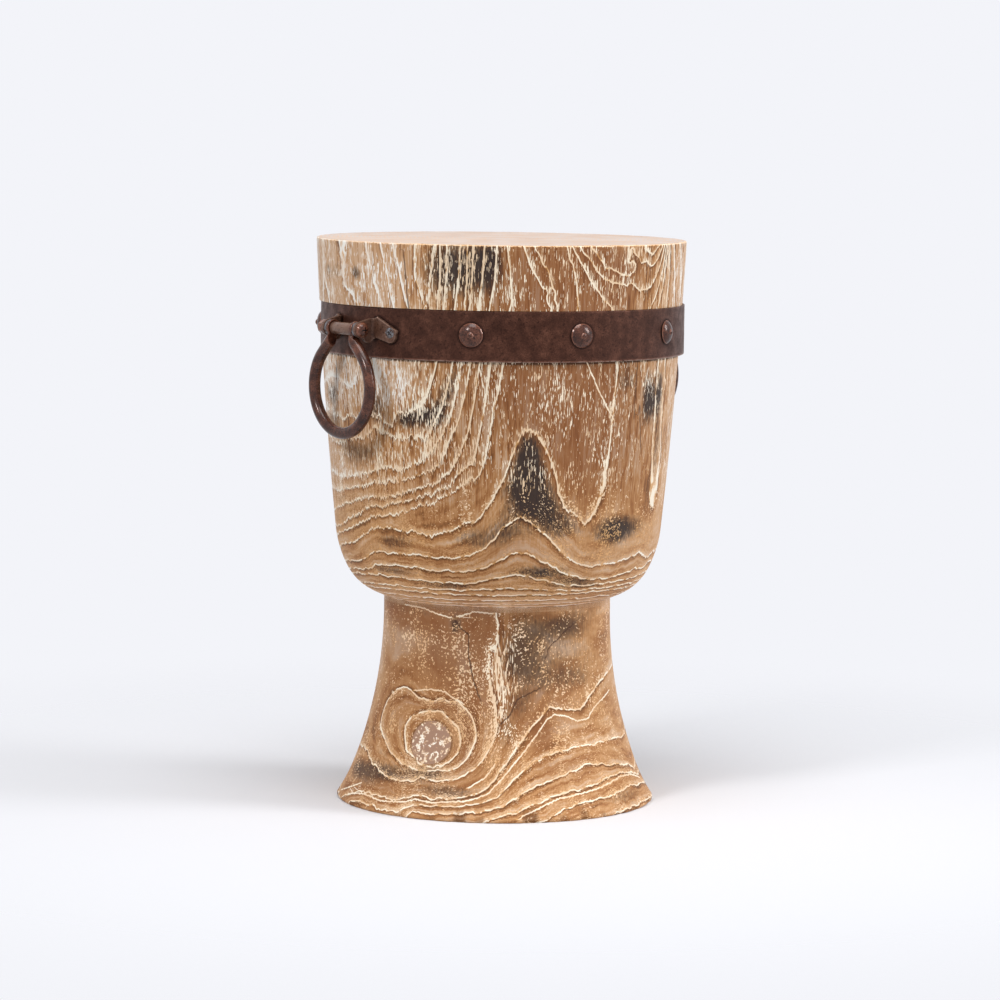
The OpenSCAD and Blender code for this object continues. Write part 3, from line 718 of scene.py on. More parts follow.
# Ring lines as drawn on the log: level, then bearing in degrees and height in millimetres of each point.
# Bearing 0 faces the camera and grows to the right. A higher level is later wood, as on a map of heights.
BOWL_LINES: tuple[tuple[float, tuple[Pair, ...]], ...] = (
    (-4, ((-180, 165.5), (-90, 165.5), (0, 165.5), (90, 165.5), (180, 165.5))),
    (-3, ((-180, 168), (-90, 167.5), (0, 168.5), (90, 168), (180, 168))),
    (-2, ((-180, 171.5), (-90, 170), (-30, 172), (30, 172.5), (90, 171.5), (180, 171.5))),
    (-1, ((-180, 176), (-90, 172), (-48, 177), (0, 177), (40, 178), (90, 177), (180, 176))),
    (0, ((-180, 180), (-120, 176), (-85, 174), (-68, 177), (-47.5, 180.5), (-27, 180), (-14, 181), (6, 183),
        (13, 182.6), (25, 180.5), (40, 180), (62, 180.6), (85, 181), (120, 182), (150, 183), (180, 180))),
    (1, ((-180, 188), (-130, 184), (-85, 181), (-68, 186), (-49, 188), (-27, 187), (-10, 186), (-4.5, 189),
        (1.8, 193.6), (8, 194), (13.6, 191.6), (20, 187.6), (26.4, 184.5), (40, 184), (62, 185), (73, 187), (85, 186),
        (120, 190), (150, 191), (180, 188))),
    (2, ((-180, 196), (-125, 192), (-85, 184.5), (-72.5, 188), (-56, 190.5), (-49, 196), (-38, 198.4), (-22.5, 195.6),
        (-10, 197), (-4.5, 200), (0, 205), (4.5, 211.6), (7.3, 213), (11.8, 209.6), (17.3, 204), (22.7, 197),
        (29, 192), (35.5, 188.6), (42.7, 188), (51.8, 189.6), (61.8, 194), (67.3, 190.8), (73.6, 196.4), (85, 196),
        (110, 201), (140, 208), (180, 196))),
    (3, ((-180, 212), (-125, 204), (-85, 190.4), (-74, 194), (-56.7, 198.4), (-48.3, 206.4), (-38.3, 208),
        (-26.7, 207.4), (-14.2, 206.8), (-10, 209.5), (-4.5, 215), (-1.4, 222), (1, 231), (4.5, 237.6), (7.3, 239.6),
        (11, 236), (16.4, 226.4), (20, 217), (24.5, 208), (29, 202), (33.6, 200), (48, 201), (53.6, 204), (60, 206.4),
        (67.3, 200.4), (75, 203), (85, 205), (110, 216), (140, 230), (163, 222), (180, 212))),
    (4, ((-180, 250), (-160, 238), (-135, 226), (-110, 212), (-85, 200), (-75.8, 206), (-60, 213), (-49.2, 224),
        (-41.7, 227.6), (-31.7, 226), (-23.3, 224.4), (-18.3, 227), (-13.3, 232), (-6, 239), (-2, 254), (1, 267),
        (3.6, 284), (6, 300), (8.6, 309), (11.6, 306), (14, 298), (17.3, 284), (19, 272), (20, 260), (22.7, 248),
        (26.4, 241), (30.5, 233), (33.6, 241), (35.5, 250), (37.3, 267), (38.5, 290), (39, 310), (39.6, 350))),
    (4, ((60.5, 352), (60.8, 320), (61.2, 300), (62.7, 274), (64.5, 248), (67, 243), (69, 260), (68.2, 285),
        (67, 310), (66, 352))),
    (4, ((95, 355), (98, 330), (102, 300), (108, 275), (116, 262), (126, 270), (134, 290), (140, 315), (146, 330),
        (154, 322), (160, 300), (168, 270), (180, 250))),
    (5, ((-180, 282), (-155, 257), (-130, 241), (-105, 226), (-85, 211), (-76.7, 215.6), (-64.2, 222), (-49.2, 233),
        (-43.3, 236), (-37.5, 237.6), (-32.5, 242), (-26.7, 248), (-21.7, 251), (-15.8, 259), (-10, 268), (-6.5, 272),
        (-4.6, 285), (-3.4, 300), (-2.4, 320), (-1, 334), (0.5, 354))),
    (5, ((158, 355), (163, 330), (172, 300), (180, 282))),
    (5, ((106, 355), (109, 325), (113, 300), (118, 290), (123, 300), (127, 325), (130, 355))),
    (6, ((166, 355), (172, 335), (180, 310))),
    (6, ((-180, 310), (-164, 280), (-145, 262), (-120, 246), (-100, 230), (-80, 219), (-69.2, 224), (-63.3, 230),
        (-55, 235), (-50, 242), (-40.8, 244.6), (-30.8, 252), (-23.3, 255), (-16.7, 264), (-11.7, 276), (-8.3, 281),
        (-6.6, 300), (-5, 320), (-3.8, 340), (-3, 356))),
    (7, ((-178, 340), (-165, 302), (-148, 282), (-125, 262), (-104, 246), (-85, 231), (-72.5, 238), (-61.7, 243),
        (-51.7, 248), (-45.8, 250.4), (-38.3, 251), (-31.7, 258), (-24.2, 262), (-20, 266), (-15.8, 276),
        (-12.5, 290), (-9.8, 307), (-8, 330), (-6.6, 354))),
    (8, ((-176, 355), (-168, 335), (-154, 312), (-135, 296), (-115, 278), (-98, 262), (-85, 250), (-72.5, 251),
        (-60.8, 255), (-51.7, 258), (-47.5, 262), (-38.3, 264), (-30.8, 269), (-25, 273), (-20.8, 278), (-18.3, 286),
        (-16.6, 298), (-13.3, 314), (-10.6, 340), (-9.4, 356))),
    (9, ((-164, 355), (-154, 338), (-138, 322), (-120, 308), (-102, 288), (-88, 270), (-80, 265), (-70.8, 262),
        (-57.5, 265), (-50, 267), (-42.5, 275), (-35, 274), (-31, 277), (-25, 284), (-21.5, 293), (-18, 305),
        (-15.4, 320), (-13.4, 340), (-12.4, 356))),
    (10, ((-146, 355), (-134, 340), (-117, 330), (-100, 310), (-88, 297), (-74, 290), (-66, 290), (-56, 295),
        (-49, 298), (-44, 307), (-40, 302), (-34, 299), (-30, 301), (-24, 300), (-21.5, 309), (-18.6, 325),
        (-16, 345), (-15, 356))),
    (11, ((-124, 355), (-110, 345), (-98, 330), (-84, 316), (-68, 311), (-60.8, 309), (-57, 313), (-50, 310),
        (-46, 313), (-43.5, 314.6), (-40, 309), (-37, 309), (-34.6, 318), (-38, 328), (-41, 337), (-44, 348),
        (-46, 358))),
    (12, ((-102, 352), (-94, 343), (-85, 334), (-76.7, 338), (-70, 343), (-63.3, 340), (-57.5, 335), (-53, 340),
        (-51, 350), (-50.5, 357))),
)
# Tops and hollows that no line marks
BOWL_SPOTS: tuple[Triple, ...] = (
    (3.4, 9.5, 262), (3.5, 45, 225), (3.5, 50, 300), (3.6, 50, 350), (4.3, 27, 290), (4.4, 28, 330), (4.6, 8, 356),
    (4.5, 8, 335), (4.3, 8, 320), (4.4, 20, 350), (4.4, 36, 356), (4.6, 65, 290), (4.7, 65, 340), (3.4, 80, 300),
    (3.4, 84, 350), (5.6, 118, 345), (3.6, 145, 345), (11.4, -30, 330), (11.6, -28, 350), (12.6, -75, 356),
    (11.4, -60, 326), (3.5, 84, 240),
)


@dataclass(frozen=True)
class RingField:
    """A smooth field over part of the log that has each ring line's level all along that line."""

    lines: tuple
    spots: tuple
    # Heights between which the field is seen: a line that ends near one of them runs on past it
    seen: Pair = (-100.0, 1000.0)
    spacing_mm: float = 9.0
    # A line that ends this near to a seen height runs on by so much, with at most this lean in degrees per millimetre
    margin_mm: float = 14.0
    run_on_mm: float = 26.0
    most_lean: float = 0.25
    # The log's usual radius, for lengths round it, and the unit of length in the field's even slope
    round_mm: float = 135.0
    unit_mm: float = 100.0
    # Points that are worked out at a time, to save memory
    batch: int = 2000

    def values(self, place: np.ndarray, profile: np.ndarray) -> tuple[np.ndarray, np.ndarray]:
        """Works out the field and its gradient.

        Args:
            place: Points on the log, in millimetres.
            profile: Heights and radii of the log's side, by rising height.

        Returns:
            The level at each point, and the gradient in levels per millimetre.
        """
        known, level = self._known(profile)
        count = len(known)
        side = np.zeros((count + 4, count + 4))
        side[:count, :count] = np.linalg.norm(known[:, None] - known[None], axis=2)
        side[:count, count] = 1
        side[:count, count + 1 :] = known / self.unit_mm
        side[count:, :count] = side[:count, count:].T
        weight = np.linalg.solve(side, np.concatenate([level, np.zeros(4)]))
        ring = np.empty(len(place))
        slope = np.empty((len(place), 3))
        even = weight[count + 1 :] / self.unit_mm
        for first in range(0, len(place), self.batch):
            here = slice(first, first + self.batch)
            some = place[here]
            away = some[:, None] - known[None]
            far = np.linalg.norm(away, axis=2) + 1e-6
            ring[here] = far @ weight[:count] + weight[count] + some @ even
            slope[here] = np.einsum("ij,ijk->ik", weight[:count] / far, away) + even
        return ring, slope

    def _past(self, before: Pair, end: Pair) -> list[Pair]:
        """Continues a line past the seen heights.

        Args:
            before: The line's last point but one.
            end: The line's last point.

        Returns:
            No points, or the far end of the continued line.
        """
        low, high = self.seen
        if low + self.margin_mm < end[1] < high - self.margin_mm or end[1] == before[1]:
            return []
        rise = math.copysign(self.run_on_mm, end[1] - (low + high) / 2)
        lean = (end[0] - before[0]) / (end[1] - before[1])
        return [(end[0] + max(-self.most_lean, min(self.most_lean, lean)) * rise, end[1] + rise)]

    def _known(self, profile: np.ndarray) -> tuple[np.ndarray, np.ndarray]:
        """Sets out the points whose level is known: each line at an even spacing, and the spots.

        Args:
            profile: Heights and radii of the log's side, by rising height.

        Returns:
            Points in millimetres, and the level of each.
        """
        flat: list[Triple] = []
        for level, drawn in self.lines:
            line = [*self._past(drawn[1], drawn[0]), *drawn, *self._past(drawn[-2], drawn[-1])[::-1]]
            for (u0, z0), (u1, z1) in zip(line, line[1:]):
                reach = math.hypot(math.radians(u1 - u0) * self.round_mm, z1 - z0)
                steps = max(1, round(reach / self.spacing_mm))
                flat += [(level, u0 + (u1 - u0) * i / steps, z0 + (z1 - z0) * i / steps) for i in range(steps)]
            flat.append((level, *line[-1]))
        flat += self.spots
        data = np.array(flat)
        turn = np.radians(data[:, 1] + CAMERA_BEARING)
        radius = np.interp(data[:, 2], profile[:, 0], profile[:, 1])
        known = np.stack([radius * np.cos(turn), radius * np.sin(turn), data[:, 2]], axis=1)
        known, first = np.unique(known.round(2), axis=0, return_index=True)
        return known, data[first, 0]


FOOT_LINES: tuple[tuple[float, tuple[Pair, ...]], ...] = (
    (1, ((20, 4), (28, 10), (35, 13), (50, 15), (65, 18), (80, 16), (100, 10), (125, 6), (140, 0))),
    (2, ((-2, 3), (8, 8), (15, 13.5), (22, 18.5), (30, 21.5), (40, 23.5), (52, 28), (60, 30), (70, 28), (80, 23),
        (105, 20), (130, 24), (155, 16), (176, 2))),
    (3, ((-31, 6.5), (-22.5, 5), (-14, 6.5), (-4, 8), (3, 13), (10, 21), (18, 28), (28, 33), (36, 38), (43, 41),
        (50, 39), (60, 36), (70, 34), (78, 28), (100, 34), (125, 44), (150, 38), (175, 20), (200, 3))),
    (4, ((-180, 25), (-150, 15), (-122, 3))),
    (4, ((-65, 4), (-57.5, 5.7), (-49, 4), (-41.7, 3.2), (-35.8, 4.8), (-31, 10.7), (-22.5, 10.7), (-14, 10.7),
        (-5, 14), (2, 21), (8, 33), (15, 44), (22, 49), (30, 52), (40, 55), (48, 54), (55, 56), (65, 55), (78, 54),
        (100, 62), (125, 72), (150, 58), (180, 25))),
    (5, ((-76, 1.5), (-68, 7.3), (-60.8, 12.3), (-54, 13), (-47.5, 11.5), (-41, 11.5), (-35, 14), (-31, 17.3),
        (-23.3, 15.7), (-14, 17.3), (-8.3, 20.7), (-3, 27), (0, 32.5), (8, 53), (15, 69), (22, 81), (26, 86),
        (33, 85), (40, 82), (45, 84), (50, 92), (56, 98), (64, 103), (80, 110), (100, 122), (125, 118), (150, 102),
        (180, 76), (205, 50), (232, 28), (255, 12), (276, 4))),
    (6, ((-180, 150), (-150, 132), (-132, 100), (-118, 72), (-102, 52), (-85, 41), (-75, 43), (-68, 41.5),
        (-63.3, 36.5), (-56.7, 33), (-50, 28), (-41, 25.7), (-35, 27), (-31, 31.5), (-26.7, 29.3), (-20, 29.8),
        (-14, 33), (-8, 41.5), (-4.5, 49), (-1, 62), (0.5, 69), (0.2, 84), (-2.3, 102), (-3.8, 119), (-4, 130.7),
        (-2.7, 133), (-0.5, 132), (0.7, 139), (0.7, 154), (-1, 159))),
    (7, ((-23.3, 39), (-20.4, 37.3), (-15.8, 39.8), (-11.7, 47.3), (-8.75, 60.7), (-8.75, 69), (-10.8, 79),
        (-15, 86.5), (-20, 90.7), (-26.7, 90.7), (-32.5, 89.8), (-39.2, 90.7), (-45, 94.8), (-50, 96.5), (-55, 93),
        (-59.2, 87.3), (-62.5, 79), (-63.8, 70.7), (-62.5, 63), (-59.2, 58), (-55.8, 53), (-50, 45.7), (-43.3, 40.7),
        (-36.7, 37), (-30, 36.5), (-23.3, 39))),
    (8, ((-19.6, 44.3), (-15.8, 50.7), (-15.2, 59), (-16.7, 69), (-21.7, 78), (-26.7, 81.5), (-31.7, 82.3),
        (-38.3, 79), (-42.5, 72.3), (-44.2, 65.7), (-42.9, 57.3), (-40.8, 49.8), (-37.5, 46), (-30, 38.7),
        (-23, 40.5), (-19.6, 44.3))),
    (7, tuple(((-105 + 15 * math.cos(t * math.tau / 12),
        112 + 22 * math.sin(t * math.tau / 12)) for t in range(13)))),
    (8, tuple(((-106 + 7 * math.cos(t * math.tau / 12), 110 + 11 * math.sin(t * math.tau / 12)) for t in range(13)))),
)
FOOT_SPOTS: tuple[Triple, ...] = (
    (8.6, -29.3, 57.3), (6.5, -30, 125), (6.5, -60, 125), (6.5, -75, 90), (6.4, -10, 120), (6.6, -12, 150),
    (6.5, -75, 150), (6.5, -45, 150), (5.5, 14, 120), (5.5, 30, 140), (5.5, 60, 140), (5.5, 8, 150), (5.5, 90, 150),
    (5.5, 130, 145), (5.6, 160, 140), (5.4, -180, 115), (8.5, -106, 110), (6.6, -110, 160), (5.5, 5, 95),
    (7.5, -55, 75), (5.55, -72, 22), (5.4, -45, 20), (5.4, 165, 110), (6.4, -135, 150),
)


def drum_lines() -> tuple[tuple[float, tuple[Pair, ...]], ...]:
    """Ring lines above the hoop: near the camera as drawn, round the back at an even pitch with a wavy lean.

    Returns:
        Level and points of each line, as in BOWL_LINES.
    """
    drawn: list[tuple[float, tuple[Pair, ...]]] = [
        (1, ((-73, 449), (-73.5, 430), (-75.5, 400))),
        (2, ((-59.6, 449), (-58, 430), (-57, 414), (-56, 432), (-55.4, 449))),
        (3, ((-45.2, 444), (-43.5, 430), (-41.5, 415), (-39.5, 401))),
        (4, ((-39.2, 448), (-37.4, 430), (-36, 413), (-34.8, 401))),
        (5, ((-34.8, 449), (-32.7, 432), (-31.2, 415), (-29.6, 401))),
        (6, ((-27, 445), (-27, 425), (-24.5, 408), (-23, 401))),
        (7, ((-20.3, 449), (-21.4, 430), (-22.3, 415), (-22.8, 401))),
        (8, ((-18.7, 449), (-18.4, 425), (-19.4, 401))), (9, ((-16.7, 449), (-17, 425), (-17.8, 401))),
        (10, ((-12.2, 449), (-12.8, 425), (-14, 401))), (11, ((-10, 449), (-10.2, 420), (-10.8, 401))),
        (12, ((-8.8, 449), (-9.2, 420), (-9.9, 401))), (13, ((-5, 449), (-5.6, 425), (-6.8, 401))),
        (14, ((-1.4, 449), (-1.8, 425), (-3.4, 401))), (15, ((1.6, 449), (2.4, 430), (3.2, 410), (2.6, 401))),
        (16, ((7, 449), (9, 433), (11.6, 423), (14.8, 415), (15.6, 402))),
        (17, ((10, 446), (12.2, 436), (14.6, 425), (17, 401))),
        (18, ((20.4, 448), (22, 436), (23.4, 420), (24, 402))),
        (19, ((21.6, 449), (24.2, 437), (27, 427), (29.6, 418), (32.4, 409), (36.2, 402.5))),
        (20, ((25, 446), (28.4, 438), (31, 428), (34.4, 423), (39.5, 421), (43.6, 421.4))),
        (21, ((28, 448.5), (30.4, 441), (33.2, 433), (37, 429), (40.2, 427), (43, 426.4), (44.8, 429), (42, 438),
            (43.6, 443.6))), (21, ((44, 448), (46.6, 441), (50, 436.6), (53.4, 434.4), (56.4, 439.4), (58.4, 448))),
        (22, ((48.2, 448), (50, 444.6), (52.4, 442.8), (55, 445), (57, 449))),
        (20, ((50, 414), (52.8, 418.4), (55.4, 425), (57.6, 434), (58.8, 443), (59.4, 449.5))),
        (19, ((53.6, 402), (55.6, 408), (57.6, 418), (59.4, 430), (60.8, 449))),
        (18, ((58, 402), (60, 420), (61.6, 449))), (17, ((63.5, 402), (63.8, 425), (63, 449))),
        (16, ((70, 402), (68.6, 425), (66.6, 449))), (15, ((78, 402), (76.4, 425), (73, 449))),
    ]
    first, last, count = 86.0, 276.0, 13
    for i in range(count):
        u = first + (last - first) * i / (count - 1)
        lean = 3.0 * math.sin(0.05 * u) + 2.0 * math.sin(0.13 * u)
        drawn.append((14 - i, ((u, 449.5), (u + 0.3 * lean, 425), (u + lean, 401))))
    return tuple(drawn)


@dataclass(frozen=True)
class Patch:
    """A soft-edged place on the log: middle, half width and half height in degrees and millimetres, and strength."""

    u: float
    z: float
    wide: float
    tall: float
    strength: float = 1.0
    # How far the patch leans to the right per millimetre of height, in degrees
    lean: float = 0.0

    def weight(self, u: np.ndarray, z: np.ndarray) -> np.ndarray:
        """The patch's weight at points, by bearing and height."""
        across = turned_back(u - self.u - self.lean * (z - self.z)) / self.wide
        return self.strength * np.exp(-((across**2 + ((z - self.z) / self.tall) ** 2) ** 1.1))


def patches(*rows: tuple[float, ...]) -> tuple[Patch, ...]:
    """Patches from rows of their values, in the order of Patch's fields."""
    return tuple(Patch(*row) for row in rows)


CHARCOAL = patches(
    # Drum
    (-19, 430, 5.5, 20, 0.75), (-10, 432, 6.5, 22, 1.0), (-3, 435, 3.5, 20, 0.8), (-50.5, 425, 2.2, 5, 0.8),
    (-68, 424, 3, 7, 0.45), (-58.5, 449, 3, 6, 0.7), (-61, 425, 4, 9, 0.35), (28, 425, 3, 12, 0.35, -0.2),
    # Bowl
    (-24, 317, 6.5, 9, 0.95), (-32, 313, 4, 7, 0.7), (-17, 335, 3.0, 22, 0.7, 0.16), (-71, 328, 6, 9, 0.8),
    (-43, 322, 4, 15, 0.7), (9.6, 292, 3.6, 14, 1.0), (9.5, 275, 6, 14, 1.0), (10, 260, 8, 12, 1.0),
    (14, 246, 9, 11, 0.85), (21, 232, 9, 10, 0.65), (0, 226, 12, 9, 0.3), (43, 227, 8, 11, 0.95),
    (52, 229, 10, 9, 0.5), (58, 328, 3.5, 18, 0.9), (63, 332, 2.2, 18, 0.9), (54.5, 330, 2.5, 22, 0.55),
    (44, 345, 6, 12, 0.45), (64.5, 290, 2.4, 28, 0.5), (-55, 283, 16, 12, 0.45), (-72, 308, 8, 9, 0.5),
    (15, 196, 11, 5.5, 0.85), (28, 188, 9, 3.5, 0.7), (-38, 217, 9, 7, 0.5), (-42, 193, 12, 3.5, 0.6),
    (-20, 184, 14, 3, 0.6), (-8, 222, 9, 8, 0.35), (35, 184, 16, 2.5, 0.5), (-70, 184, 14, 4, 0.3),
    (3, 235, 5, 12, 0.4), (-6, 283, 4, 10, 0.2),
    # Foot
    (14, 142, 11, 20, 0.66), (10, 122, 8, 14, 0.6), (32, 147, 13, 10, 0.5), (26, 126, 16, 18, 0.36),
    (20, 108, 12, 14, 0.45), (11, 90, 6, 12, 0.5), (40, 106, 12, 10, 0.4), (5, 68, 5, 16, 0.4), (-2, 40, 6, 14, 0.28),
    (-28, 34, 8, 5, 0.8), (-62, 27, 13, 9, 0.75), (-45, 31, 14, 7, 0.65), (-18, 22, 10, 4, 0.4), (-55, 44, 7, 4, 0.3),
    (-75, 26, 8, 8, 0.5), (-45, 158, 30, 5, 0.3), (-12, 154, 9, 7, 0.2), (50, 125, 16, 20, 0.22),
    (-20, 22, 14, 5, 0.3), (60, 160, 20, 10, 0.25), (24, 82, 2, 10, 0.3, 0.4), (40, 150, 14, 10, 0.4),
    (12, 12, 50, 6, 0.2), (60, 12, 14, 8, 0.35), (62, 35, 12, 10, 0.25), (-21, 149, 2.5, 6, 0.9),
    # Round the back
    (105, 330, 5, 22, 0.6), (120, 228, 9, 10, 0.8), (143, 285, 5, 22, 0.9), (150, 262, 8, 14, 0.6),
    (-165, 322, 5, 14, 0.8), (-140, 225, 12, 9, 0.5), (-120, 335, 7, 9, 0.7), (-105, 190, 14, 4, 0.5),
    (175, 196, 14, 4, 0.6), (100, 425, 5, 20, 0.7), (150, 432, 7, 18, 0.8), (-150, 428, 6, 14, 0.6),
    (-108, 430, 4, 9, 0.6), (120, 140, 12, 18, 0.7), (165, 120, 9, 14, 0.6), (-150, 60, 10, 9, 0.5),
    (-95, 150, 14, 9, 0.5), (90, 60, 12, 8, 0.3), (-175, 150, 10, 12, 0.6),
)
# Places where much lime is left
PALE = patches(
    (-60, 425, 26, 40, 0.85), (-38, 425, 10, 40, 0.6), (-82, 425, 14, 60, 1.0), (-60, 340, 22, 26, 0.72),
    (-38, 342, 9, 20, 0.72), (-84, 290, 14, 90, 0.8), (-62, 270, 14, 16, 0.4), (80, 300, 14, 130, 0.6),
    (-82, 130, 10, 60, 0.7), (80, 110, 14, 60, 0.4), (-29.3, 57.3, 9, 15, 0.5), (0, 168, 400, 8, 0.45),
    (50, 205, 30, 12, 0.35), (72, 420, 10, 40, 0.5), (-35, 132, 26, 12, 0.25), (56, 340, 4, 20, 0.3),
    (-150, 330, 24, 50, 0.5), (160, 425, 20, 40, 0.4), (-120, 120, 24, 40, 0.4), (120, 300, 16, 40, 0.3),
)
# Places of deeper brown
DEEP = patches(
    (12, 340, 28, 50, 1.0), (28, 300, 14, 60, 1.0), (50, 290, 12, 50, 0.5), (12, 425, 20, 60, 1.0),
    (34, 425, 12, 60, 0.6), (-45, 130, 34, 32, 0.5), (-12, 110, 12, 60, 0.8), (-16, 270, 14, 30, 0.5),
    (6, 215, 14, 12, 0.4), (20, 66, 8, 14, 0.8), (38, 425, 10, 20, 0.6), (-52, 70, 10, 18, 0.4), (28, 40, 14, 7, 0.4),
    (20, 92, 22, 26, 0.7), (-50, 20, 30, 14, 0.6), (-38, 152, 36, 9, 1.6), (-9, 150, 8, 14, 1.0),
    (-25, 125, 16, 30, 0.6), (-32, 88, 22, 5, 0.6), (-12, 62, 4, 26, 0.6), (130, 320, 30, 60, 0.8),
    (-130, 140, 40, 40, 0.7), (-150, 280, 30, 40, 0.6), (150, 100, 30, 40, 0.6),
)
# Places where the pores kept more lime
LIMY = patches(
    (-35, 137, 36, 7, 1.0), (-36, 112, 34, 24, 0.9), (-10, 90, 10, 50, 0.6), (22, 128, 18, 26, 0.5),
    (40, 96, 14, 20, 0.5), (-32, 60, 40, 24, 0.4), (10, 70, 7, 9, 0.7), (9, 266, 9, 16, 0.5), (9, 300, 6, 12, -1.0),
    (10, 288, 6, 16, -0.6), (17, 262, 10, 30, 0.5), (30, 268, 10, 34, 0.3), (42, 285, 10, 40, 0.35),
    (5, 335, 12, 22, 0.4), (20, 335, 10, 22, 0.2), (-36, 345, 12, 22, 1.3), (-62, 342, 16, 24, 0.9),
    (-22, 320, 8, 20, 0.3), (-8, 330, 9, 40, -0.5), (52, 345, 8, 18, 0.7), (-20, 290, 16, 16, 0.6),
    (-50, 275, 26, 14, 0.4), (40, 262, 4, 24, 0.5), (-30, 222, 20, 8, 0.5), (12, 100, 8, 14, 0.5),
    (-30, 75, 26, 14, 0.6), (40, 100, 24, 12, 0.4), (35, 60, 30, 10, 0.4), (30, 412, 18, 12, 0.4),
    (40, 432, 22, 12, 0.3), (-12, 430, 12, 40, 0.4), (0, 425, 200, 60, -0.45), (-5, 60, 6, 16, 0.4),
    (120, 330, 40, 40, 0.5), (-140, 300, 40, 50, 0.5), (140, 120, 50, 30, 0.5), (-120, 80, 30, 30, 0.5),
)
# Places where the ring lines are ragged along the fibres
RAGGED = patches(
    (-60, 290, 34, 70, 1.0), (-20, 270, 22, 50, 0.8), (30, 250, 16, 40, 0.9), (66, 260, 8, 60, 0.8),
    (9, 310, 7, 12, 0.8), (140, 290, 60, 60, 0.8), (-130, 290, 50, 60, 0.8), (0, 425, 400, 60, 0.12),
)


@dataclass(frozen=True)
class Stroke:
    """A single line on the log, dark where it is a crack and white where lime fills a scar."""

    dark: bool
    points: tuple[Pair, ...]
    fade_mm: float = 5.0
    reach_mm: float = 7.0

    def measure(self, u: np.ndarray, z: np.ndarray, radius: np.ndarray) -> tuple[np.ndarray, np.ndarray]:
        """Measures points against the stroke.

        Args:
            u: Bearings in degrees.
            z: Heights in millimetres.
            radius: Radii in millimetres.

        Returns:
            Signed distance from the stroke in millimetres, and 1 beside the stroke, fading past its ends.
        """
        line = np.array(self.points)
        middle = line.mean(axis=0)
        scale = np.radians(1.0) * radius
        across = turned_back(u - middle[0]) * scale
        best, signed = np.full(len(u), 1e6), np.zeros(len(u))
        for i, ((u0, z0), (u1, z1)) in enumerate(zip(line, line[1:])):
            way_x, way_z = (u1 - u0) * scale, z1 - z0
            from_x, from_z = across - (u0 - middle[0]) * scale, z - z0
            length = np.hypot(way_x, way_z)
            share = np.clip((from_x * way_x + from_z * way_z) / length**2, 0, 1)
            gap = np.hypot(from_x - share * way_x, from_z - share * way_z)
            side = (from_x * way_z - from_z * way_x) / length
            end_on = (i == 0) * (share <= 0) + (i == len(line) - 2) * (share >= 1) > 0
            near = gap < best
            best[near] = gap[near]
            # Past an end the distance keeps counting sideways only
            signed[near] = np.where(end_on, side, np.sign(side) * gap)[near]
        past = np.sqrt(np.maximum(best**2 - signed**2, 0))
        return signed, np.exp(-((past / self.fade_mm) ** 2)) * np.exp(-((best / self.reach_mm) ** 4))


STROKES: tuple[Stroke, ...] = (
    Stroke(False, ((-52, 161.5), (-40, 161), (-30, 157), (-22, 155), (-17, 158), (-11, 161), (-3, 160)), 3.0, 4.0),
    Stroke(True, ((-21, 153), (-17, 146), (-14, 143), (-13.5, 125), (-11, 108), (-8, 95))),
    Stroke(True, ((3, 75), (7, 82), (10, 93), (20, 100))), Stroke(True, ((25, 125), (27, 133), (35, 143), (42, 150))),
    Stroke(True, ((-31, 452), (-30.2, 425), (-29.2, 398))), Stroke(True, ((48.5, 362), (48.6, 335), (48.8, 318))),
    Stroke(True, ((51.5, 322), (53, 300), (54, 290))), Stroke(True, ((-65, 362), (-65.5, 340), (-66, 322))),
    Stroke(False, ((27.5, 362), (30, 350), (33, 337), (36, 326), (38.5, 318))),
    Stroke(False, ((-80, 7), (-72, 12), (-65, 17))),
    Stroke(False, ((10, 5), (18, 12), (25, 17), (35, 19.2), (45, 21.4), (60, 26.6), (70, 25.5), (80, 20))),
    Stroke(False, ((-47, 9.2), (-35, 11.4), (-31, 14.2), (-23.3, 13), (-10, 16), (-3, 21), (2, 31), (10, 48),
        (17, 62.5), (23.5, 76), (28, 80.3), (34, 78.2), (40, 73.6), (47, 74.5), (52, 81.5), (58, 86), (68, 91))),
    Stroke(False, ((-40, 96), (-31.7, 98), (-25, 97), (-16.7, 89.8))),
    Stroke(False, ((3, 80), (0.8, 100), (-0.2, 118), (0.6, 128))), Stroke(False, ((3.5, 84), (3.2, 105), (1.6, 125))),
    Stroke(False, ((-1, 41), (-4, 33), (-9, 27))), Stroke(False, ((-70, 7), (-62, 10.5), (-55, 11), (-48, 9.5))),
    Stroke(True, ((100, 362), (101, 330), (100, 300))), Stroke(True, ((172, 452), (171, 425), (172, 398))),
    Stroke(True, ((-130, 362), (-129, 335), (-131, 305))), Stroke(True, ((140, 150), (146, 128), (150, 100))),
    Stroke(True, ((-100, 60), (-98, 35), (-101, 8))),
)

# Tool marks along the foot's edge: first and last bearing, height, and share of the full depth
CHIPS: tuple[tuple[float, float, float, float], ...] = (
    (-15, -10.5, 7, 0.8), (-6.5, -3.5, 5, 0.4), (10.5, 15.5, 8, 0.9), (19, 21, 5, 0.45), (24, 27, 5, 0.5),
    (33, 36, 7, 0.7), (42, 44, 4, 0.4), (50, 53, 5, 0.5), (60, 64, 5, 0.5), (-24, -21.5, 4, 0.3), (-38, -35, 4, 0.3),
    (-58, -56, 4, 0.3), (75, 79, 5, 0.5), (96, 99, 6, 0.6), (118, 121, 4, 0.4), (150, 155, 7, 0.8),
    (-170, -166, 5, 0.5), (-150, -147, 6, 0.6), (-120, -117, 4, 0.4), (-95, -91, 6, 0.6),
)


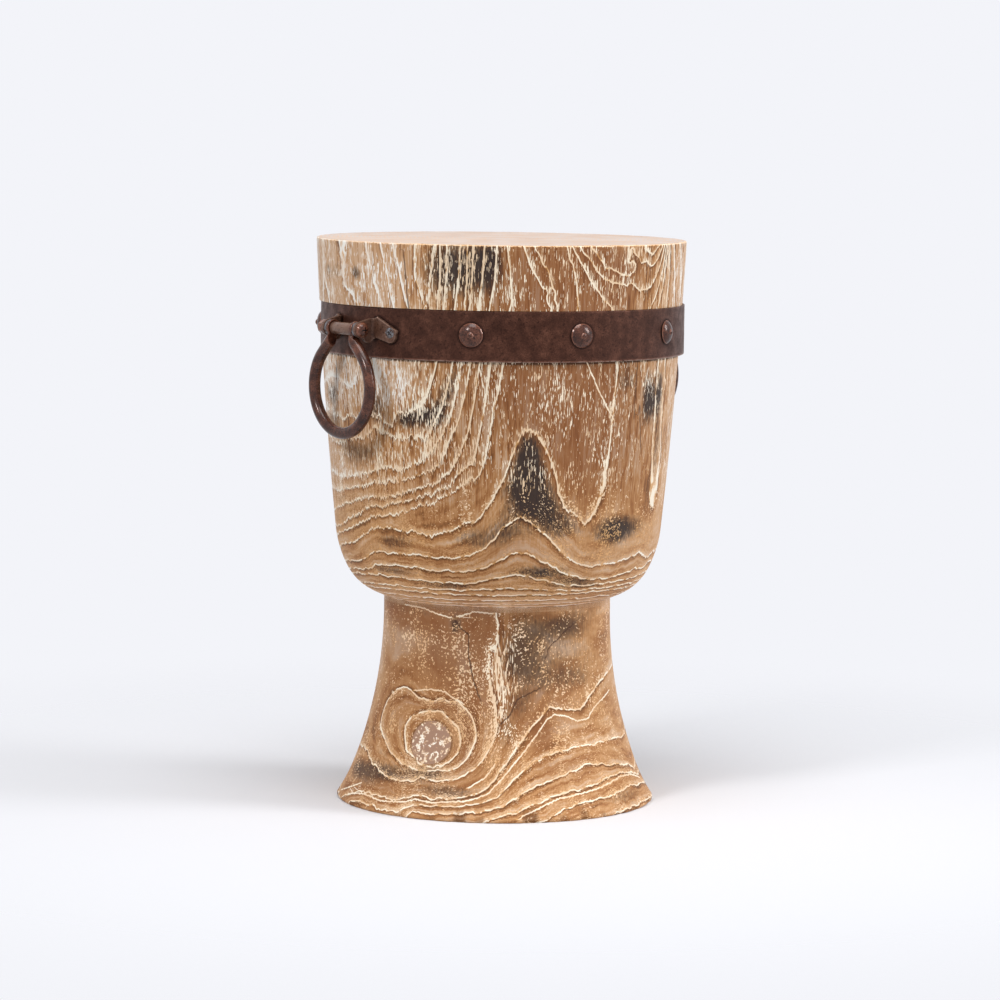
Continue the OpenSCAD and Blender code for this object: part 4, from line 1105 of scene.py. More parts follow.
@dataclass(frozen=True)
class Figure:
    """The log's figure, kept as attributes of its mesh, from the drawn lines and patches."""

    neck_mm: float = 164.0
    hoop_mm: float = 380.0
    end_grain_mm: float = 3.4
    # The knot's bearing, height, half width in degrees and half height in millimetres
    knot: tuple[float, float, float, float] = (-29.2, 57.3, 10.2, 17.4)
    # Tool marks on the foot's edge: full depth, how softly they end at their sides in degrees and at their top in
    # millimetres, and the heights and least radius of the edge
    chip_mm: float = 3.2
    chip_soft: Pair = (0.8, 1.5)
    chip_z: Pair = (0.2, 12.0)
    chip_r: float = 100.0
    # Heights in millimetres: where the side turns upright, the foot's top and how softly it ends, the painted shadow
    # under the hoop and how softly it ends, and where the seat's rim starts and is palest
    upright_mm: Pair = (225.0, 305.0)
    foot_mm: Pair = (168.0, 4.0)
    stain_and_shadow_mm: Pair = (358.2, 0.6)
    rim_mm: Pair = (446.0, 449.4)
    rim_pale: float = 0.5
    # A place on the foot where the figure runs upright too
    tongue: Patch = Patch(4, 110, 7, 40)

    def _chipped(self, u: np.ndarray, z: np.ndarray) -> np.ndarray:
        """Works out how much of the foot's edge the tool marks took away.

        Args:
            u: Bearings in degrees.
            z: Heights in millimetres.

        Returns:
            Share of the full depth at each point.
        """
        taken = np.zeros(len(u))
        beside, above = self.chip_soft
        for first, last, tall, share in CHIPS:
            across = np.clip((u - first) / beside + 0.5, 0, 1) * np.clip((last - u) / beside + 0.5, 0, 1)
            taken = np.maximum(taken, share * across * np.clip((tall - z) / above, 0, 1))
        return taken

    def chip(self, mesh: Mesh) -> None:
        """Cuts the tool marks into the foot's edge.

        Args:
            mesh: The log's mesh, in metres.
        """
        for vertex in mesh.vertices:
            x, y, z = vertex.co / MM
            if z > self.chip_z[1] or z < self.chip_z[0] or math.hypot(x, y) < self.chip_r:
                continue
            u = turned_back(math.degrees(math.atan2(y, x)) - CAMERA_BEARING)
            cut = float(self._chipped(np.array([u]), np.array([z]))[0]) * self.chip_mm
            share = 1 - cut / math.hypot(x, y)
            vertex.co.x, vertex.co.y = vertex.co.x * share, vertex.co.y * share

    def mark(self, mesh: Mesh, profile: Sequence[Triple]) -> None:
        """Writes the figure onto the log's mesh.

        Args:
            mesh: The log's mesh, in metres.
            profile: The log's section in metres, from the top down.
        """
        count = len(mesh.vertices)
        place, normal = read(mesh, "co").astype(float) / MM, read(mesh, "normal")
        radius = np.hypot(place[:, 0], place[:, 1])
        u = turned_back(np.degrees(np.arctan2(place[:, 1], place[:, 0])) - CAMERA_BEARING)
        z = place[:, 2]
        # The side alone, without the faces of seat and foot
        side = np.array(sorted((p[1] / MM, p[0] / MM) for p in profile if p[0] / MM > 85 and p[1] / MM > 0.5))
        ring, slope = np.zeros(count), np.zeros((count, 3))
        zones = (
            (z <= self.neck_mm, RingField(FOOT_LINES, FOOT_SPOTS)),
            ((z > self.neck_mm) & (z <= self.hoop_mm), RingField(BOWL_LINES, BOWL_SPOTS, (-100.0, 360.0))),
            (z > self.hoop_mm, RingField(drum_lines(), (), (399.0, 450.0))),
        )
        for here, field_of in zones:
            ring[here], slope[here] = field_of.values(place[here], side)
        # The faces of seat and foot show end grain: rings round the pith
        end = (np.abs(normal[:, 2]) > 0.95) & ((z > 449) | (z < 1))
        turn = np.radians(u[end])
        pith = radius[end] + 4 * np.cos(turn - 1) + 3 * np.cos(2 * turn) + 1.6 * np.cos(5 * turn + 1)
        ring[end] = -pith / self.end_grain_mm
        slope[end] = 0
        slope[end, 0] = 1 / self.end_grain_mm
        along = slope - normal * np.einsum("ij,ij->i", slope, normal)[:, None]
        steep = np.linalg.norm(along, axis=1)
        rise = np.where(end, 0, slope[:, 2])
        low, high = self.upright_mm
        upright = np.maximum(np.clip((z - low) / (high - low), 0, 1), self.tongue.weight(u, z))
        stroke_mm, stroke_on, dark_on = np.full(count, 50.0), np.zeros(count), np.zeros(count)
        for stroke in STROKES:
            signed, weight = stroke.measure(u, z, radius)
            weight = weight * ~end
            nearer = weight > stroke_on
            stroke_mm[nearer], stroke_on[nearer] = signed[nearer], weight[nearer]
            dark_on[nearer] = weight[nearer] if stroke.dark else 0.0
        # The seat's rim is drawn as a pale line
        rim = (z > self.rim_mm[0]) & ~end
        stroke_mm[rim], stroke_on[rim], dark_on[rim] = z[rim] - self.rim_mm[1], self.rim_pale, 0.0
        knot = np.hypot(turned_back(u - self.knot[0]) / self.knot[2], (z - self.knot[1]) / self.knot[3])
        values = {
            "ring": ring, "step": np.minimum(1 / np.maximum(steep, 1e-3), 60), "rise": rise,
            "foot": np.clip((self.foot_mm[0] - z) / self.foot_mm[1], 0, 1) * ~end, "upright": upright * ~end,
            "knot": knot, "end": end.astype(float), "stroke_mm": stroke_mm, "chip": self._chipped(u, z),
            # Painted shadow in a strip under the hoop's lower edge
            "stain": np.clip((z - self.stain_and_shadow_mm[0]) / self.stain_and_shadow_mm[1], 0, 1) * (z < self.hoop_mm),
            "crack": dark_on, "scar": np.where(dark_on > 0, 0, stroke_on),
        }
        # Each soft mark's patches, its value on the end grain and its least value
        for name, places, on_end, least in (
            ("char", CHARCOAL, 0.0, 0), ("pale", PALE, 0.55, 0), ("ragged", RAGGED, 0.0, 0), ("deep", DEEP, 0.0, 0),
            ("limy", LIMY, 0.0, -1),
        ):
            marked = sum(patch.weight(u, z) for patch in places)
            values[name] = np.clip(marked * ~end if on_end == 0 else marked + on_end * end, least, 1)
        for name, value in values.items():
            write(mesh, name, value)


# Position in metres and Euler angles in radians of a piece
Place = tuple[Vector, Triple]
# How uneven the skins of the small ironwork are, in millimetres
UNEVEN_MM = {
    "domed_washers": 0.28, "nails": 0.5, "pan_head_bolts": 0.12, "hexagon_nuts": 0.12, "inner_washers": 0.12,
    "cheek_washers": 0.12, "tab_screws": 0.05, "spacer_a": 0.1, "spacer_b": 0.1,
}


def place_tree() -> NodeTree:
    """Tree that sets one piece at each point, faced and swayed, and makes the skins a little uneven.

    Each point's attribute "facing" holds Euler angles. A sway is a random turn about the piece's own axes.

    Returns:
        The tree.
    """
    tree, given = new_tree("place", [
        ("Piece", "NodeSocketObject"), ("Sway", "NodeSocketVector"), ("Seed", "NodeSocketInt"),
        ("Unevenness", "NodeSocketFloat"), ("Wave length", "NodeSocketFloat"), ("Material", "NodeSocketMaterial"),
    ])
    piece = add(tree, "GeometryNodeObjectInfo", {"Object": given.outputs["Piece"]})
    facing = add(tree, "GeometryNodeInputNamedAttribute", {"Name": "facing"}, data_type="FLOAT_VECTOR")
    faced = add(tree, "FunctionNodeEulerToRotation", {0: facing.outputs[0]})
    back = add(tree, "ShaderNodeVectorMath", {0: given.outputs["Sway"], "Scale": -1.0}, operation="SCALE")
    sway = add(tree, "FunctionNodeRandomValue", {
        0: back.outputs[0], 1: given.outputs["Sway"], "Seed": given.outputs["Seed"],
    }, data_type="FLOAT_VECTOR")
    swayed = add(tree, "FunctionNodeRotateRotation", {
        0: faced.outputs[0], 1: add(tree, "FunctionNodeEulerToRotation", {0: sway.outputs[0]}).outputs[0],
    }, rotation_space="LOCAL")
    placed = add(tree, "GeometryNodeInstanceOnPoints", {
        "Points": given.outputs["Geometry"], "Instance": piece.outputs["Geometry"], "Rotation": swayed.outputs[0],
    })
    real = add(tree, "GeometryNodeRealizeInstances", {"Geometry": placed.outputs[0]})
    known = {"wave_length": given.outputs["Wave length"], "uneven": given.outputs["Unevenness"]}
    known["wave"] = add(tree, "ShaderNodeTexNoise", {
        "Detail": 2.0, "Scale": reckon(tree, known, ("/", 1.0, "wave_length")),
    }).outputs["Fac"]
    push = add(tree, "ShaderNodeVectorMath", {
        0: add(tree, "GeometryNodeInputNormal").outputs[0],
        "Scale": reckon(tree, known, ("*", ("-", "wave", 0.6), "uneven")),
    }, operation="SCALE")
    worn = add(tree, "GeometryNodeSetPosition", {"Geometry": real.outputs[0], "Offset": push.outputs[0]})
    end_tree(tree, worn.outputs[0], given.outputs["Material"])
    return tree


def turned_mesh(name: str, points: Sequence[Pair], sides: int = 40) -> Mesh:
    """Turns a section round the X axis into one closed skin.

    Args:
        name: Name of the mesh.
        points: Distance along the axis and radius of each point in millimetres. The section closes on itself,
            or starts and ends on the axis.
        sides: Number of sides.

    Returns:
        The mesh, in metres.
    """
    skin = bmesh.new()
    rings = []
    for along, radius in points:
        count = sides if radius > 0 else 1
        turns = [math.tau * i / count for i in range(count)]
        rings.append([
            skin.verts.new((along * MM, radius * math.cos(t) * MM, radius * math.sin(t) * MM)) for t in turns
        ])
    pairs = list(zip(rings, rings[1:]))
    if points[0][1] > 0:
        pairs.append((rings[-1], rings[0]))
    for near, far in pairs:
        for i in range(sides):
            corners = [near[i % len(near)], near[(i + 1) % len(near)], far[(i + 1) % len(far)], far[i % len(far)]]
            skin.faces.new(list(dict.fromkeys(corners)))
    bmesh.ops.recalc_face_normals(skin, faces=skin.faces)
    made = bpy.data.meshes.new(name)
    skin.to_mesh(made)
    skin.free()
    return made


def cap_points(diameter: float, height: float, start_r: float, count: int) -> list[Pair]:
    """Draws a domed cap's outer side, in millimetres.

    Args:
        diameter: Of the cap.
        height: Of the dome.
        start_r: Radius at which the points start.
        count: Number of points.

    Returns:
        Points out to the cap's edge, as turned_mesh takes them.
    """
    sphere = (diameter**2 / 4 + height**2) / (2 * height)
    radii = [start_r + (diameter / 2 - start_r) * i / (count - 1) for i in range(count)]
    return [(math.sqrt(max(sphere**2 - r**2, 0.0)) - sphere + height, r) for r in radii]


def collar_points(length: float, outer_r: float, bore_r: float, edge: float) -> list[Pair]:
    """Draws a tube or washer with rounded edges, in millimetres.

    Args:
        length: Along the axis.
        outer_r: Outer radius.
        bore_r: Radius of the bore.
        edge: Radius of the outer edges. The bore's are bevelled by half of it.

    Returns:
        Points of its section, centred on its middle, as turned_mesh takes them.
    """
    half, bevel = length / 2, edge / 2
    quarter = (0, 0.52, 1.05, 1.57)
    corner = [(half - edge + edge * math.sin(a), outer_r - edge + edge * math.cos(a)) for a in quarter]
    bore = [(-half, bore_r + bevel), (bevel - half, bore_r), (half - bevel, bore_r)]
    return [(half, bore_r + bevel), *corner[::-1], *((-x, r) for x, r in corner), *bore]


def mark_wear(mesh: Mesh, reach_mm: float = 1.0, contrast: float = 1.6) -> None:
    """Writes how proud each vertex stands of its neighbours as attribute "wear": 0.5 flat, 1 an edge, 0 a hollow.

    Args:
        mesh: Mesh to mark, in metres.
        reach_mm: How far the wear spreads from an edge.
        contrast: How fast the wear grows with the bend.
    """
    count = len(mesh.vertices)
    co, normal = read(mesh, "co"), read(mesh, "normal")
    ends = np.empty(len(mesh.edges) * 2, np.int32)
    mesh.edges.foreach_get("vertices", ends)
    a, b = ends.reshape(-1, 2).T
    away = co[b] - co[a]
    length = np.maximum(np.linalg.norm(away, axis=1), 1e-7)
    bend_a = -np.einsum("ij,ij->i", away, normal[a]) / length
    bend_b = np.einsum("ij,ij->i", away, normal[b]) / length
    total, weight = np.zeros(count), np.zeros(count)
    for end, bend in ((a, bend_a), (b, bend_b)):
        np.add.at(total, end, bend)
        np.add.at(weight, end, 1)
    proud = total / np.maximum(weight, 1)
    for _ in range(max(1, round(reach_mm * MM / float(np.median(length))))):
        total = proud.copy()
        weight = np.ones(count)
        for end, other in ((a, b), (b, a)):
            np.add.at(total, end, proud[other])
            np.add.at(weight, end, 1)
        proud = total / weight
    write(mesh, "wear", np.clip(0.5 + contrast * proud, 0, 1))


def on_hoop(bearing: float, x: float, y: float, z: float) -> tuple[Vector, float]:
    """Finds a place in the frame of one side of the hoop.

    Args:
        bearing: Where that side lies, in degrees.
        x: Outwards from the hoop's axis, in millimetres.
        y: Along the hoop, in millimetres.
        z: Height in millimetres.

    Returns:
        The place in metres in the stool's frame, and the bearing in radians.
    """
    turn = math.radians(bearing)
    flat = Matrix.Rotation(turn, 3, "Z") @ Vector((x, y, z)) + Vector((*HOOP_AXIS_MM, 0))
    return flat * MM, turn


@dataclass(frozen=True)
class Handle:
    """One ring handle: its letter, its bearing on the hoop in degrees, and the body that swings."""

    letter: str
    bearing: float
    body: str


@dataclass
class Ironwork:
    """Hoop, nails, brackets, bolts and swinging rings, with the CAD's own sizes in millimetres."""

    hoop_iron: Material
    ring_iron: Material
    bracket_iron: Material
    zinc: Material
    handles: tuple[Handle, ...] = (Handle("a", 180.0, "ring_a"), Handle("b", 4.5, "ring_b"))
    hoop_r: float = 145.1957
    hoop_t: float = 2.0
    hoop_z: Pair = (360.0, 399.4)
    hoop_edge: float = 0.55
    hoop_sides: int = 800
    # Rows of faces across the strap and across its edges, and the waves in its skin: height and length
    hoop_rows: tuple[int, int] = (32, 4)
    hoop_wave: Pair = (-0.3, 14.0)
    # Reach and strength of the painted shade round the domed washers and along the brackets
    washer_painted_shade: Pair = (1.7, 0.45)
    bracket_painted_shade: Pair = (1.8, 0.4)
    # Degrees from a handle's middle to a bracket's, and how far a bracket reaches from there
    bracket_turn: float = 11.0
    bracket_reach: float = 34.0
    nail_bearings: tuple[float, ...] = (38, 71, 105, 138.5, -138.4, -103.9, -66.6, -23.5)
    nail_z: float = 380.7
    # Width, height and sheet of the domed washers, their flat rim, and their curve: its power, and the power and height
    # of the lip at its edge
    dome: Triple = (18.6, 3.4, 1.2)
    dome_rim: float = 2.0
    dome_curve: Triple = (2.5, 12.0, 0.3)
    nail_head: Pair = (5.2, 1.5)
    nail: Pair = (3.0, 38.0)
    seat_gap: float = 0.05
    bolt_x: float = 157.0957
    bolt_z: float = 382.0
    bolt_d: float = 6.0
    bolt_ends: Pair = (-30.85, 23.35)
    thread: Pair = (9.0, 1.0)
    thread_deep: float = 0.45
    pan: Pair = (11.0, 3.8)
    nut: Pair = (10.0, 5.0)
    washer_d: float = 12.0
    bore_gap: float = 0.05
    eye_washer: Pair = (16.6, 2.5)
    outer_washer: Pair = (21.9, 1.4)
    sleeve: Pair = (26.2, 9.5)
    tab_out_r: float = 147.8457
    screw_turn: float = 15.089
    screw_z: float = 380.1
    screw: Triple = (8.2, 4.2, 26.0)
    # Length, width and depth of the cross recesses, and how much narrower each arm's floor is
    bolt_cross: Triple = (6.0, 1.3, 2.0)
    screw_cross: Triple = (4.6, 1.1, 1.3)
    cross_taper: float = 0.7
    # Largest random turns in degrees: any turn about its own axis, and that with a little tilt
    spin: Triple = (180.0, 0.0, 0.0)
    dome_sway: Triple = (180.0, 2.2, 2.2)
    # Size of the faces in the skins of brackets and rings, how much and how often they are rubbed, and how far apart
    # points of the CAD's mesh are joined
    bracket_grid: float = 0.4
    ring_grid: float = 0.55
    rub: tuple[float, int] = (0.5, 5)
    weld_mm: float = 0.005
    # Wave length of the other skins
    wave_mm: float = 3.5
    place: NodeTree = field(default_factory=place_tree)
    remade: list[Object] = field(default_factory=list)

    def build(self) -> None:
        """Makes every iron and zinc piece."""
        self._hoop()
        self._nails()
        self._bolts()
        for handle in self.handles:
            letter = handle.letter
            for side in ("left", "right"):
                self._kept(
                    f"bracket_{letter}_{side}", f"ear_{letter}_{side}", ROOT_BODY, self.bracket_grid, self.bracket_iron,
                )
            self._kept(f"ring_handle_{letter}", f"ring_{letter}", handle.body, self.ring_grid, self.ring_iron)
            self._sleeve(handle)
        for piece in self.remade:
            LOG.info("%s: %d faces", piece.name, len(piece.data.polygons))

    def _finish(self, made: Object, body: str, nodes: Sequence[str]) -> None:
        """Marks wear on a piece and hands it over in place of CAD nodes.

        Args:
            made: The piece.
            body: Body that it moves with.
            nodes: CAD nodes that it replaces.
        """
        mark_wear(made.data)
        smooth(made.data)
        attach(made, body)
        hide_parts(*nodes)
        self.remade.append(made)

    def _hoop(self) -> None:
        """Makes the strap hoop with rubbed, rounded edges, a painted lower-edge highlight and painted shade."""
        low, high = self.hoop_z
        outer, inner, edge = self.hoop_r, self.hoop_r - self.hoop_t, self.hoop_edge
        quarter = [math.radians(22.5 * i) for i in range(5)]
        corners = [
            (outer - edge, low + edge, -90), (outer - edge, high - edge, 0), (inner + edge, high - edge, 90),
            (inner + edge, low + edge, 180),
        ]
        loop: list[Pair] = []
        for x, z, start in corners:
            first = math.radians(start)
            arc = [(x + edge * math.cos(first + a), z + edge * math.sin(first + a)) for a in quarter]
            if loop and abs(arc[0][1] - loop[-1][1]) > edge * 3:
                (x0, z0), (x1, z1) = loop[-1], arc[0]
                rows = self.hoop_rows[0 if x0 > outer - edge else 1]
                loop += [(x0 + (x1 - x0) * i / rows, z0 + (z1 - z0) * i / rows) for i in range(1, rows)]
            loop += arc
        loop.append(loop[0])
        section = section_mesh("hoop_section", [(x * MM, z * MM) for x, z in loop])
        write(section, "seat", [1.0] * len(loop))
        made = run_tree("strap_hoop", section, lathe_tree(), {
            "Sides": self.hoop_sides, "Seat shift": (*(v * MM for v in HOOP_AXIS_MM), 0.0),
            "Unevenness": self.hoop_wave[0] * MM, "Wave length": self.hoop_wave[1] * MM, "Seed": 9.0,
            "Material": self.hoop_iron,
        })
        face_outwards(made.data)
        self._finish(made, ROOT_BODY, ["hoop"])
        # A painted highlight along the lower edge, and painted shade round the domed washers, go into the wear values
        studs = [on_hoop(bearing, outer, 0, self.nail_z)[0] for bearing in self.nail_bearings]
        reach, strength = self.washer_painted_shade[0] * MM, self.washer_painted_shade[1]
        far = self.dome[0] / 2 * MM + reach
        for vertex, worn in zip(made.data.vertices, made.data.attributes["wear"].data):
            if vertex.co.z < (low + self.hoop_edge + 0.1) * MM:
                worn.value = 1.0
            away = min((vertex.co - stud).length for stud in studs)
            if away < far:
                worn.value -= strength * min(1.0, (far - away) / reach)
        self._paint_shade_at_tabs(made.data)

    def _paint_shade_at_tabs(self, mesh: Mesh) -> None:
        """Paints shade onto the hoop along the brackets' outlines.

        Args:
            mesh: The hoop's mesh.
        """
        reach, strength = self.bracket_painted_shade
        wear = mesh.attributes["wear"].data
        for handle in self.handles:
            for side in ("left", "right"):
                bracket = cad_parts[f"bracket_{handle.letter}_{side}"]
                turn = -self.bracket_turn if side == "left" else self.bracket_turn
                middle = on_hoop(handle.bearing + turn, self.hoop_r, 0, self.bolt_z)[0]
                for vertex, worn in zip(mesh.vertices, wear):
                    if (vertex.co - middle).length > self.bracket_reach * MM:
                        continue
                    hit, near, _, _ = bracket.closest_point_on_mesh(vertex.co)
                    gap = (near - vertex.co).length if hit else 1.0
                    # Painted shade, strongest at the bracket's outline and gone at the reach
                    worn.value -= strength * max(0.0, 1 - gap / (reach * MM)) ** 0.5

    def _set_out(
        self, name: str, piece: Mesh, places: Sequence[Place], material: Material,
        sway: Triple = (0.0, 0.0, 0.0),
    ) -> Object:
        """Sets a piece at several places.

        Args:
            name: Name of the finished object.
            piece: The piece, made round the origin.
            places: Position in metres and Euler angles in radians of each copy.
            material: Finish.
            sway: Largest random turn about the piece's own axes, in degrees.

        Returns:
            The object with all copies.
        """
        pattern = link_object(f"{name}_pattern", piece)
        points = bpy.data.meshes.new(f"{name}_points")
        points.from_pydata([p for p, _ in places], [], [])
        layer = points.attributes.new("facing", "FLOAT_VECTOR", "POINT")
        layer.data.foreach_set("vector", [v for _, turn in places for v in turn])
        made = run_tree(name, points, self.place, {
            "Piece": pattern, "Sway": tuple(math.radians(v) for v in sway), "Seed": 3,
            "Unevenness": UNEVEN_MM[name] * MM, "Wave length": self.wave_mm * MM, "Material": material,
        })
        bpy.data.objects.remove(pattern)
        return made

    def _nails(self) -> None:
        """Makes the domed washers and the nails that hold the hoop."""
        wide, high, sheet = self.dome
        bore = self.nail[0] / 2 + self.bore_gap
        power, lip_power, lip = self.dome_curve
        outer = [
            (high * (1 - (2 * r / wide) ** power) + lip * (1 - (2 * r / wide) ** lip_power), r)
            for r in np.linspace(bore + 0.3, wide / 2, 20).tolist()
        ]
        inner = cap_points(wide - 2 * self.dome_rim, high - sheet, bore, 10)
        edge = [(outer[0][0] - 0.3, bore), *outer, (0.0, wide / 2 - 0.15)]
        dome = turned_mesh("domed_washer", [*edge, *inner[::-1]], 48)
        seat = self.hoop_r + self.seat_gap
        domes = self._set_out("domed_washers", dome, self._at_nails(seat), self.ring_iron, self.dome_sway)
        self._finish(domes, ROOT_BODY, ["nail_washers"])
        head_d, head_h = self.nail_head
        shank_r, length = self.nail[0] / 2, self.nail[1]
        cap = cap_points(head_d, head_h, 0.0, 9)
        profile = [*cap, (0.0, head_d / 2 - 0.2), (0.0, shank_r), (2 * shank_r - length, shank_r), (-length, 0.0)]
        profile[0] = (cap[0][0], 0.0)
        nail = turned_mesh("nail", profile, 24)
        nails = self._set_out("nails", nail, self._at_nails(seat + high + self.seat_gap), self.ring_iron, self.spin)
        self._finish(nails, ROOT_BODY, ["nails"])

    def _at_nails(self, out: float) -> list[Place]:
        """Places at all nails, by distance from the hoop's axis, for pieces that face outwards."""
        spots = [on_hoop(bearing, out, 0, self.nail_z) for bearing in self.nail_bearings]
        return [(at, (0.0, 0.0, turn)) for at, turn in spots]

    def _on_bolts(self, *along: float) -> list[Place]:
        """Places on both handles' bolts, by distance from their middles, for pieces turned round their own X axis."""
        spots = [on_hoop(handle.bearing, self.bolt_x, y, self.bolt_z) for handle in self.handles for y in along]
        return [(at, (0.0, 0.0, turn + math.pi / 2)) for at, turn in spots]

    def _cross(self, piece: Mesh, along: float, size: Triple) -> Mesh:
        """Cuts a cross recess into a head that faces +X.

        Args:
            piece: The fastener.
            along: Where the head's top lies on the X axis, in millimetres.
            size: Length, width and depth of the recess, in millimetres.

        Returns:
            The cut mesh.
        """
        long, wide, deep = size
        cutter = bmesh.new()
        for turn in (0, 90):
            # Each arm of the cross narrows towards its floor
            matrix = Matrix.Translation((along * MM, 0, 0)) @ Matrix.Rotation(math.radians(turn), 4, "X")
            arm = Matrix.Diagonal((2 * deep * MM, long * MM, wide * MM, 1))
            for vert in bmesh.ops.create_cube(cutter, size=1, matrix=matrix @ arm)["verts"]:
                if vert.co.x < along * MM:
                    middle = Vector((vert.co.x, 0, 0))
                    vert.co = middle + (vert.co - middle) * self.cross_taper
        mesh = bpy.data.meshes.new("cross")
        cutter.to_mesh(mesh)
        cutter.free()
        tool, body = link_object("cross", mesh), link_object("cut", piece)
        cut = body.modifiers.new("Cross", "BOOLEAN")
        cut.object, cut.solver, cut.use_self = tool, "EXACT", True
        result = baked(body)
        for spare in (tool, body):
            bpy.data.objects.remove(spare)
        return result

    def _bolts(self) -> None:
        """Makes the bolts, nuts, washers and bracket screws."""
        tip, head = self.bolt_ends
        shank = self.bolt_d / 2
        groove = shank - self.thread_deep
        pan_d, pan_h = self.pan
        cap = cap_points(pan_d, pan_h, 0.0, 12)
        profile = [(head + x, r) for x, r in cap] + [(head, pan_d / 2 - 0.25), (head, shank)]
        threaded, pitch = self.thread
        profile.append((tip + threaded + 0.5, shank))
        for i in range(round(threaded / pitch)):
            end = tip + threaded - i * pitch
            profile += [(end, shank - 0.02), (end - 0.5 * pitch, groove)]
        profile += [(tip, groove - 0.25), (tip, 0.0)]
        profile[0] = (profile[0][0], 0.0)
        bolt = self._cross(turned_mesh("bolt", profile), head + pan_h, self.bolt_cross)
        bolts = self._set_out("pan_head_bolts", bolt, self._on_bolts(0.0), self.ring_iron)
        self._finish(bolts, ROOT_BODY, ["bolt_a", "bolt_b"])
        nuts = self._set_out("hexagon_nuts", self._nut_mesh(), self._on_bolts(-head), self.ring_iron)
        self._finish(nuts, ROOT_BODY, ["nut_a", "nut_b"])
        bore = shank + self.bore_gap
        for name, (near, thick), finish, slot, node in (
            ("inner_washers", self.eye_washer, self.zinc, Slot.ZINC, "eye_washers"),
            ("cheek_washers", self.outer_washer, self.ring_iron, Slot.IRON, "outer_washers"),
        ):
            washer = turned_mesh(name, collar_points(thick, self.washer_d / 2, bore, 0.3), 48)
            middle = near + thick / 2
            made = self._set_out(name, washer, self._on_bolts(-middle, middle), finish)
            self._finish(made, ROOT_BODY, [f"{node}_a", f"{node}_b"])
        head_d, screw_d, length = self.screw
        sink = (head_d - screw_d) / 2
        profile = [
            (0.0, 0.0), (0.0, head_d / 2 - 0.25), (-0.25, head_d / 2), (-sink, screw_d / 2),
            (screw_d - length, screw_d / 2), (-length, 0.0),
        ]
        screw = self._cross(turned_mesh("screw", profile), 0.0, self.screw_cross)
        spots = [
            on_hoop(handle.bearing + turn, self.tab_out_r, 0, self.screw_z)
            for handle in self.handles for turn in (-self.screw_turn, self.screw_turn)
        ]
        places = [(at, (0.0, 0.0, turn)) for at, turn in spots]
        screws = self._set_out("tab_screws", screw, places, self.zinc, self.spin)
        self._finish(screws, ROOT_BODY, ["bracket_screws_a", "bracket_screws_b"])

    def _nut_mesh(self) -> Mesh:
        """Makes the hexagon nut, with chamfered corners and a bore for the bolt.

        Returns:
            The nut's mesh, along -X from the origin.
        """
        across, high = self.nut
        bore, columns = self.bolt_d / 2 + self.bore_gap, 48
        skin = bmesh.new()
        rings = []
        for i in range(columns):
            turn = math.tau * i / columns
            away = (turn + math.pi / 6) % (math.pi / 3) - math.pi / 6
            outer = across / 2 / math.cos(away)
            flat = across * 0.48
            slope = max(outer - flat, 0) * math.tan(math.radians(30))
            profile = [(0.6, bore), (0.0, bore + 0.6), (0.0, flat), (slope, outer), (high - slope, outer), (high, flat),
                       (high, bore + 0.6), (high - 0.6, bore)]
            rings.append([
                skin.verts.new((-x * MM, r * math.cos(turn) * MM, r * math.sin(turn) * MM)) for x, r in profile
            ])
        for i, ring in enumerate(rings):
            other = rings[(i + 1) % columns]
            for j in range(len(ring)):
                k = (j + 1) % len(ring)
                skin.faces.new([ring[j], other[j], other[k], ring[k]])
        bmesh.ops.recalc_face_normals(skin, faces=skin.faces)
        made = bpy.data.meshes.new("nut")
        skin.to_mesh(made)
        skin.free()
        return made

    def _kept(self, node: str, name: str, body: str, grid_mm: float, material: Material) -> None:
        """Remakes a forged CAD piece as one skin with rounded, rubbed edges.

        Args:
            node: CAD node.
            name: Name of the finished object.
            body: Body that it moves with.
            grid_mm: Size of the skin's faces.
            material: Finish.
        """
        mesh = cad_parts[node].data.copy()
        skin = bmesh.new()
        skin.from_mesh(mesh)
        bmesh.ops.remove_doubles(skin, verts=skin.verts, dist=self.weld_mm * MM)
        skin.to_mesh(mesh)
        skin.free()
        mesh.materials.clear()
        mesh.materials.append(material)
        made = link_object(name, mesh)
        grid = made.modifiers.new("Skin", "REMESH")
        grid.mode, grid.voxel_size = "VOXEL", grid_mm * MM
        rub = made.modifiers.new("Rub", "SMOOTH")
        rub.factor, rub.iterations = self.rub
        result = baked(made)
        made.modifiers.clear()
        made.data = result
        self._finish(made, body, [node])

    def _sleeve(self, handle: Handle) -> None:
        """Makes the spacer tube between a ring's eyes.

        Args:
            handle: The ring's handle.
        """
        length, wide = self.sleeve
        tube = turned_mesh("tube", collar_points(length, wide / 2, self.bolt_d / 2 + 0.1, 0.4), 48)
        at, turn = on_hoop(handle.bearing, self.bolt_x, 0, self.bolt_z)
        places = [(at, (0.0, 0.0, turn + math.pi / 2))]
        made = self._set_out(f"spacer_{handle.letter}", tube, places, self.bracket_iron)
        self._finish(made, handle.body, [f"sleeve_{handle.letter}"])


@dataclass
class TurnedLog:
    """The stool's body: drum, bowl and flared foot in one piece."""

    material: Material
    sides: int = 320
    unevenness_mm: float = 0.35
    wave_mm: float = 26.0
    profile: LogProfile = field(default_factory=LogProfile)
    figure: Figure = field(default_factory=Figure)

    def build(self) -> Object:
        """Turns the log and marks its figure.

        Returns:
            The finished piece.
        """
        points = self.profile.points()
        section = section_mesh("log_section", points)
        write(section, "seat", [p[2] for p in points])
        made = run_tree("log", section, lathe_tree(), {
            "Sides": self.sides, "Seat shift": (*(v * MM for v in HOOP_AXIS_MM), 0.0),
            "Unevenness": self.unevenness_mm * MM, "Wave length": self.wave_mm * MM, "Seed": 4.0,
            "Material": self.material,
        })
        face_outwards(made.data)
        smooth(made.data)
        self.figure.chip(made.data)
        self.figure.mark(made.data, points)
        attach(made, ROOT_BODY)
        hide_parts("wood_body")
        return made


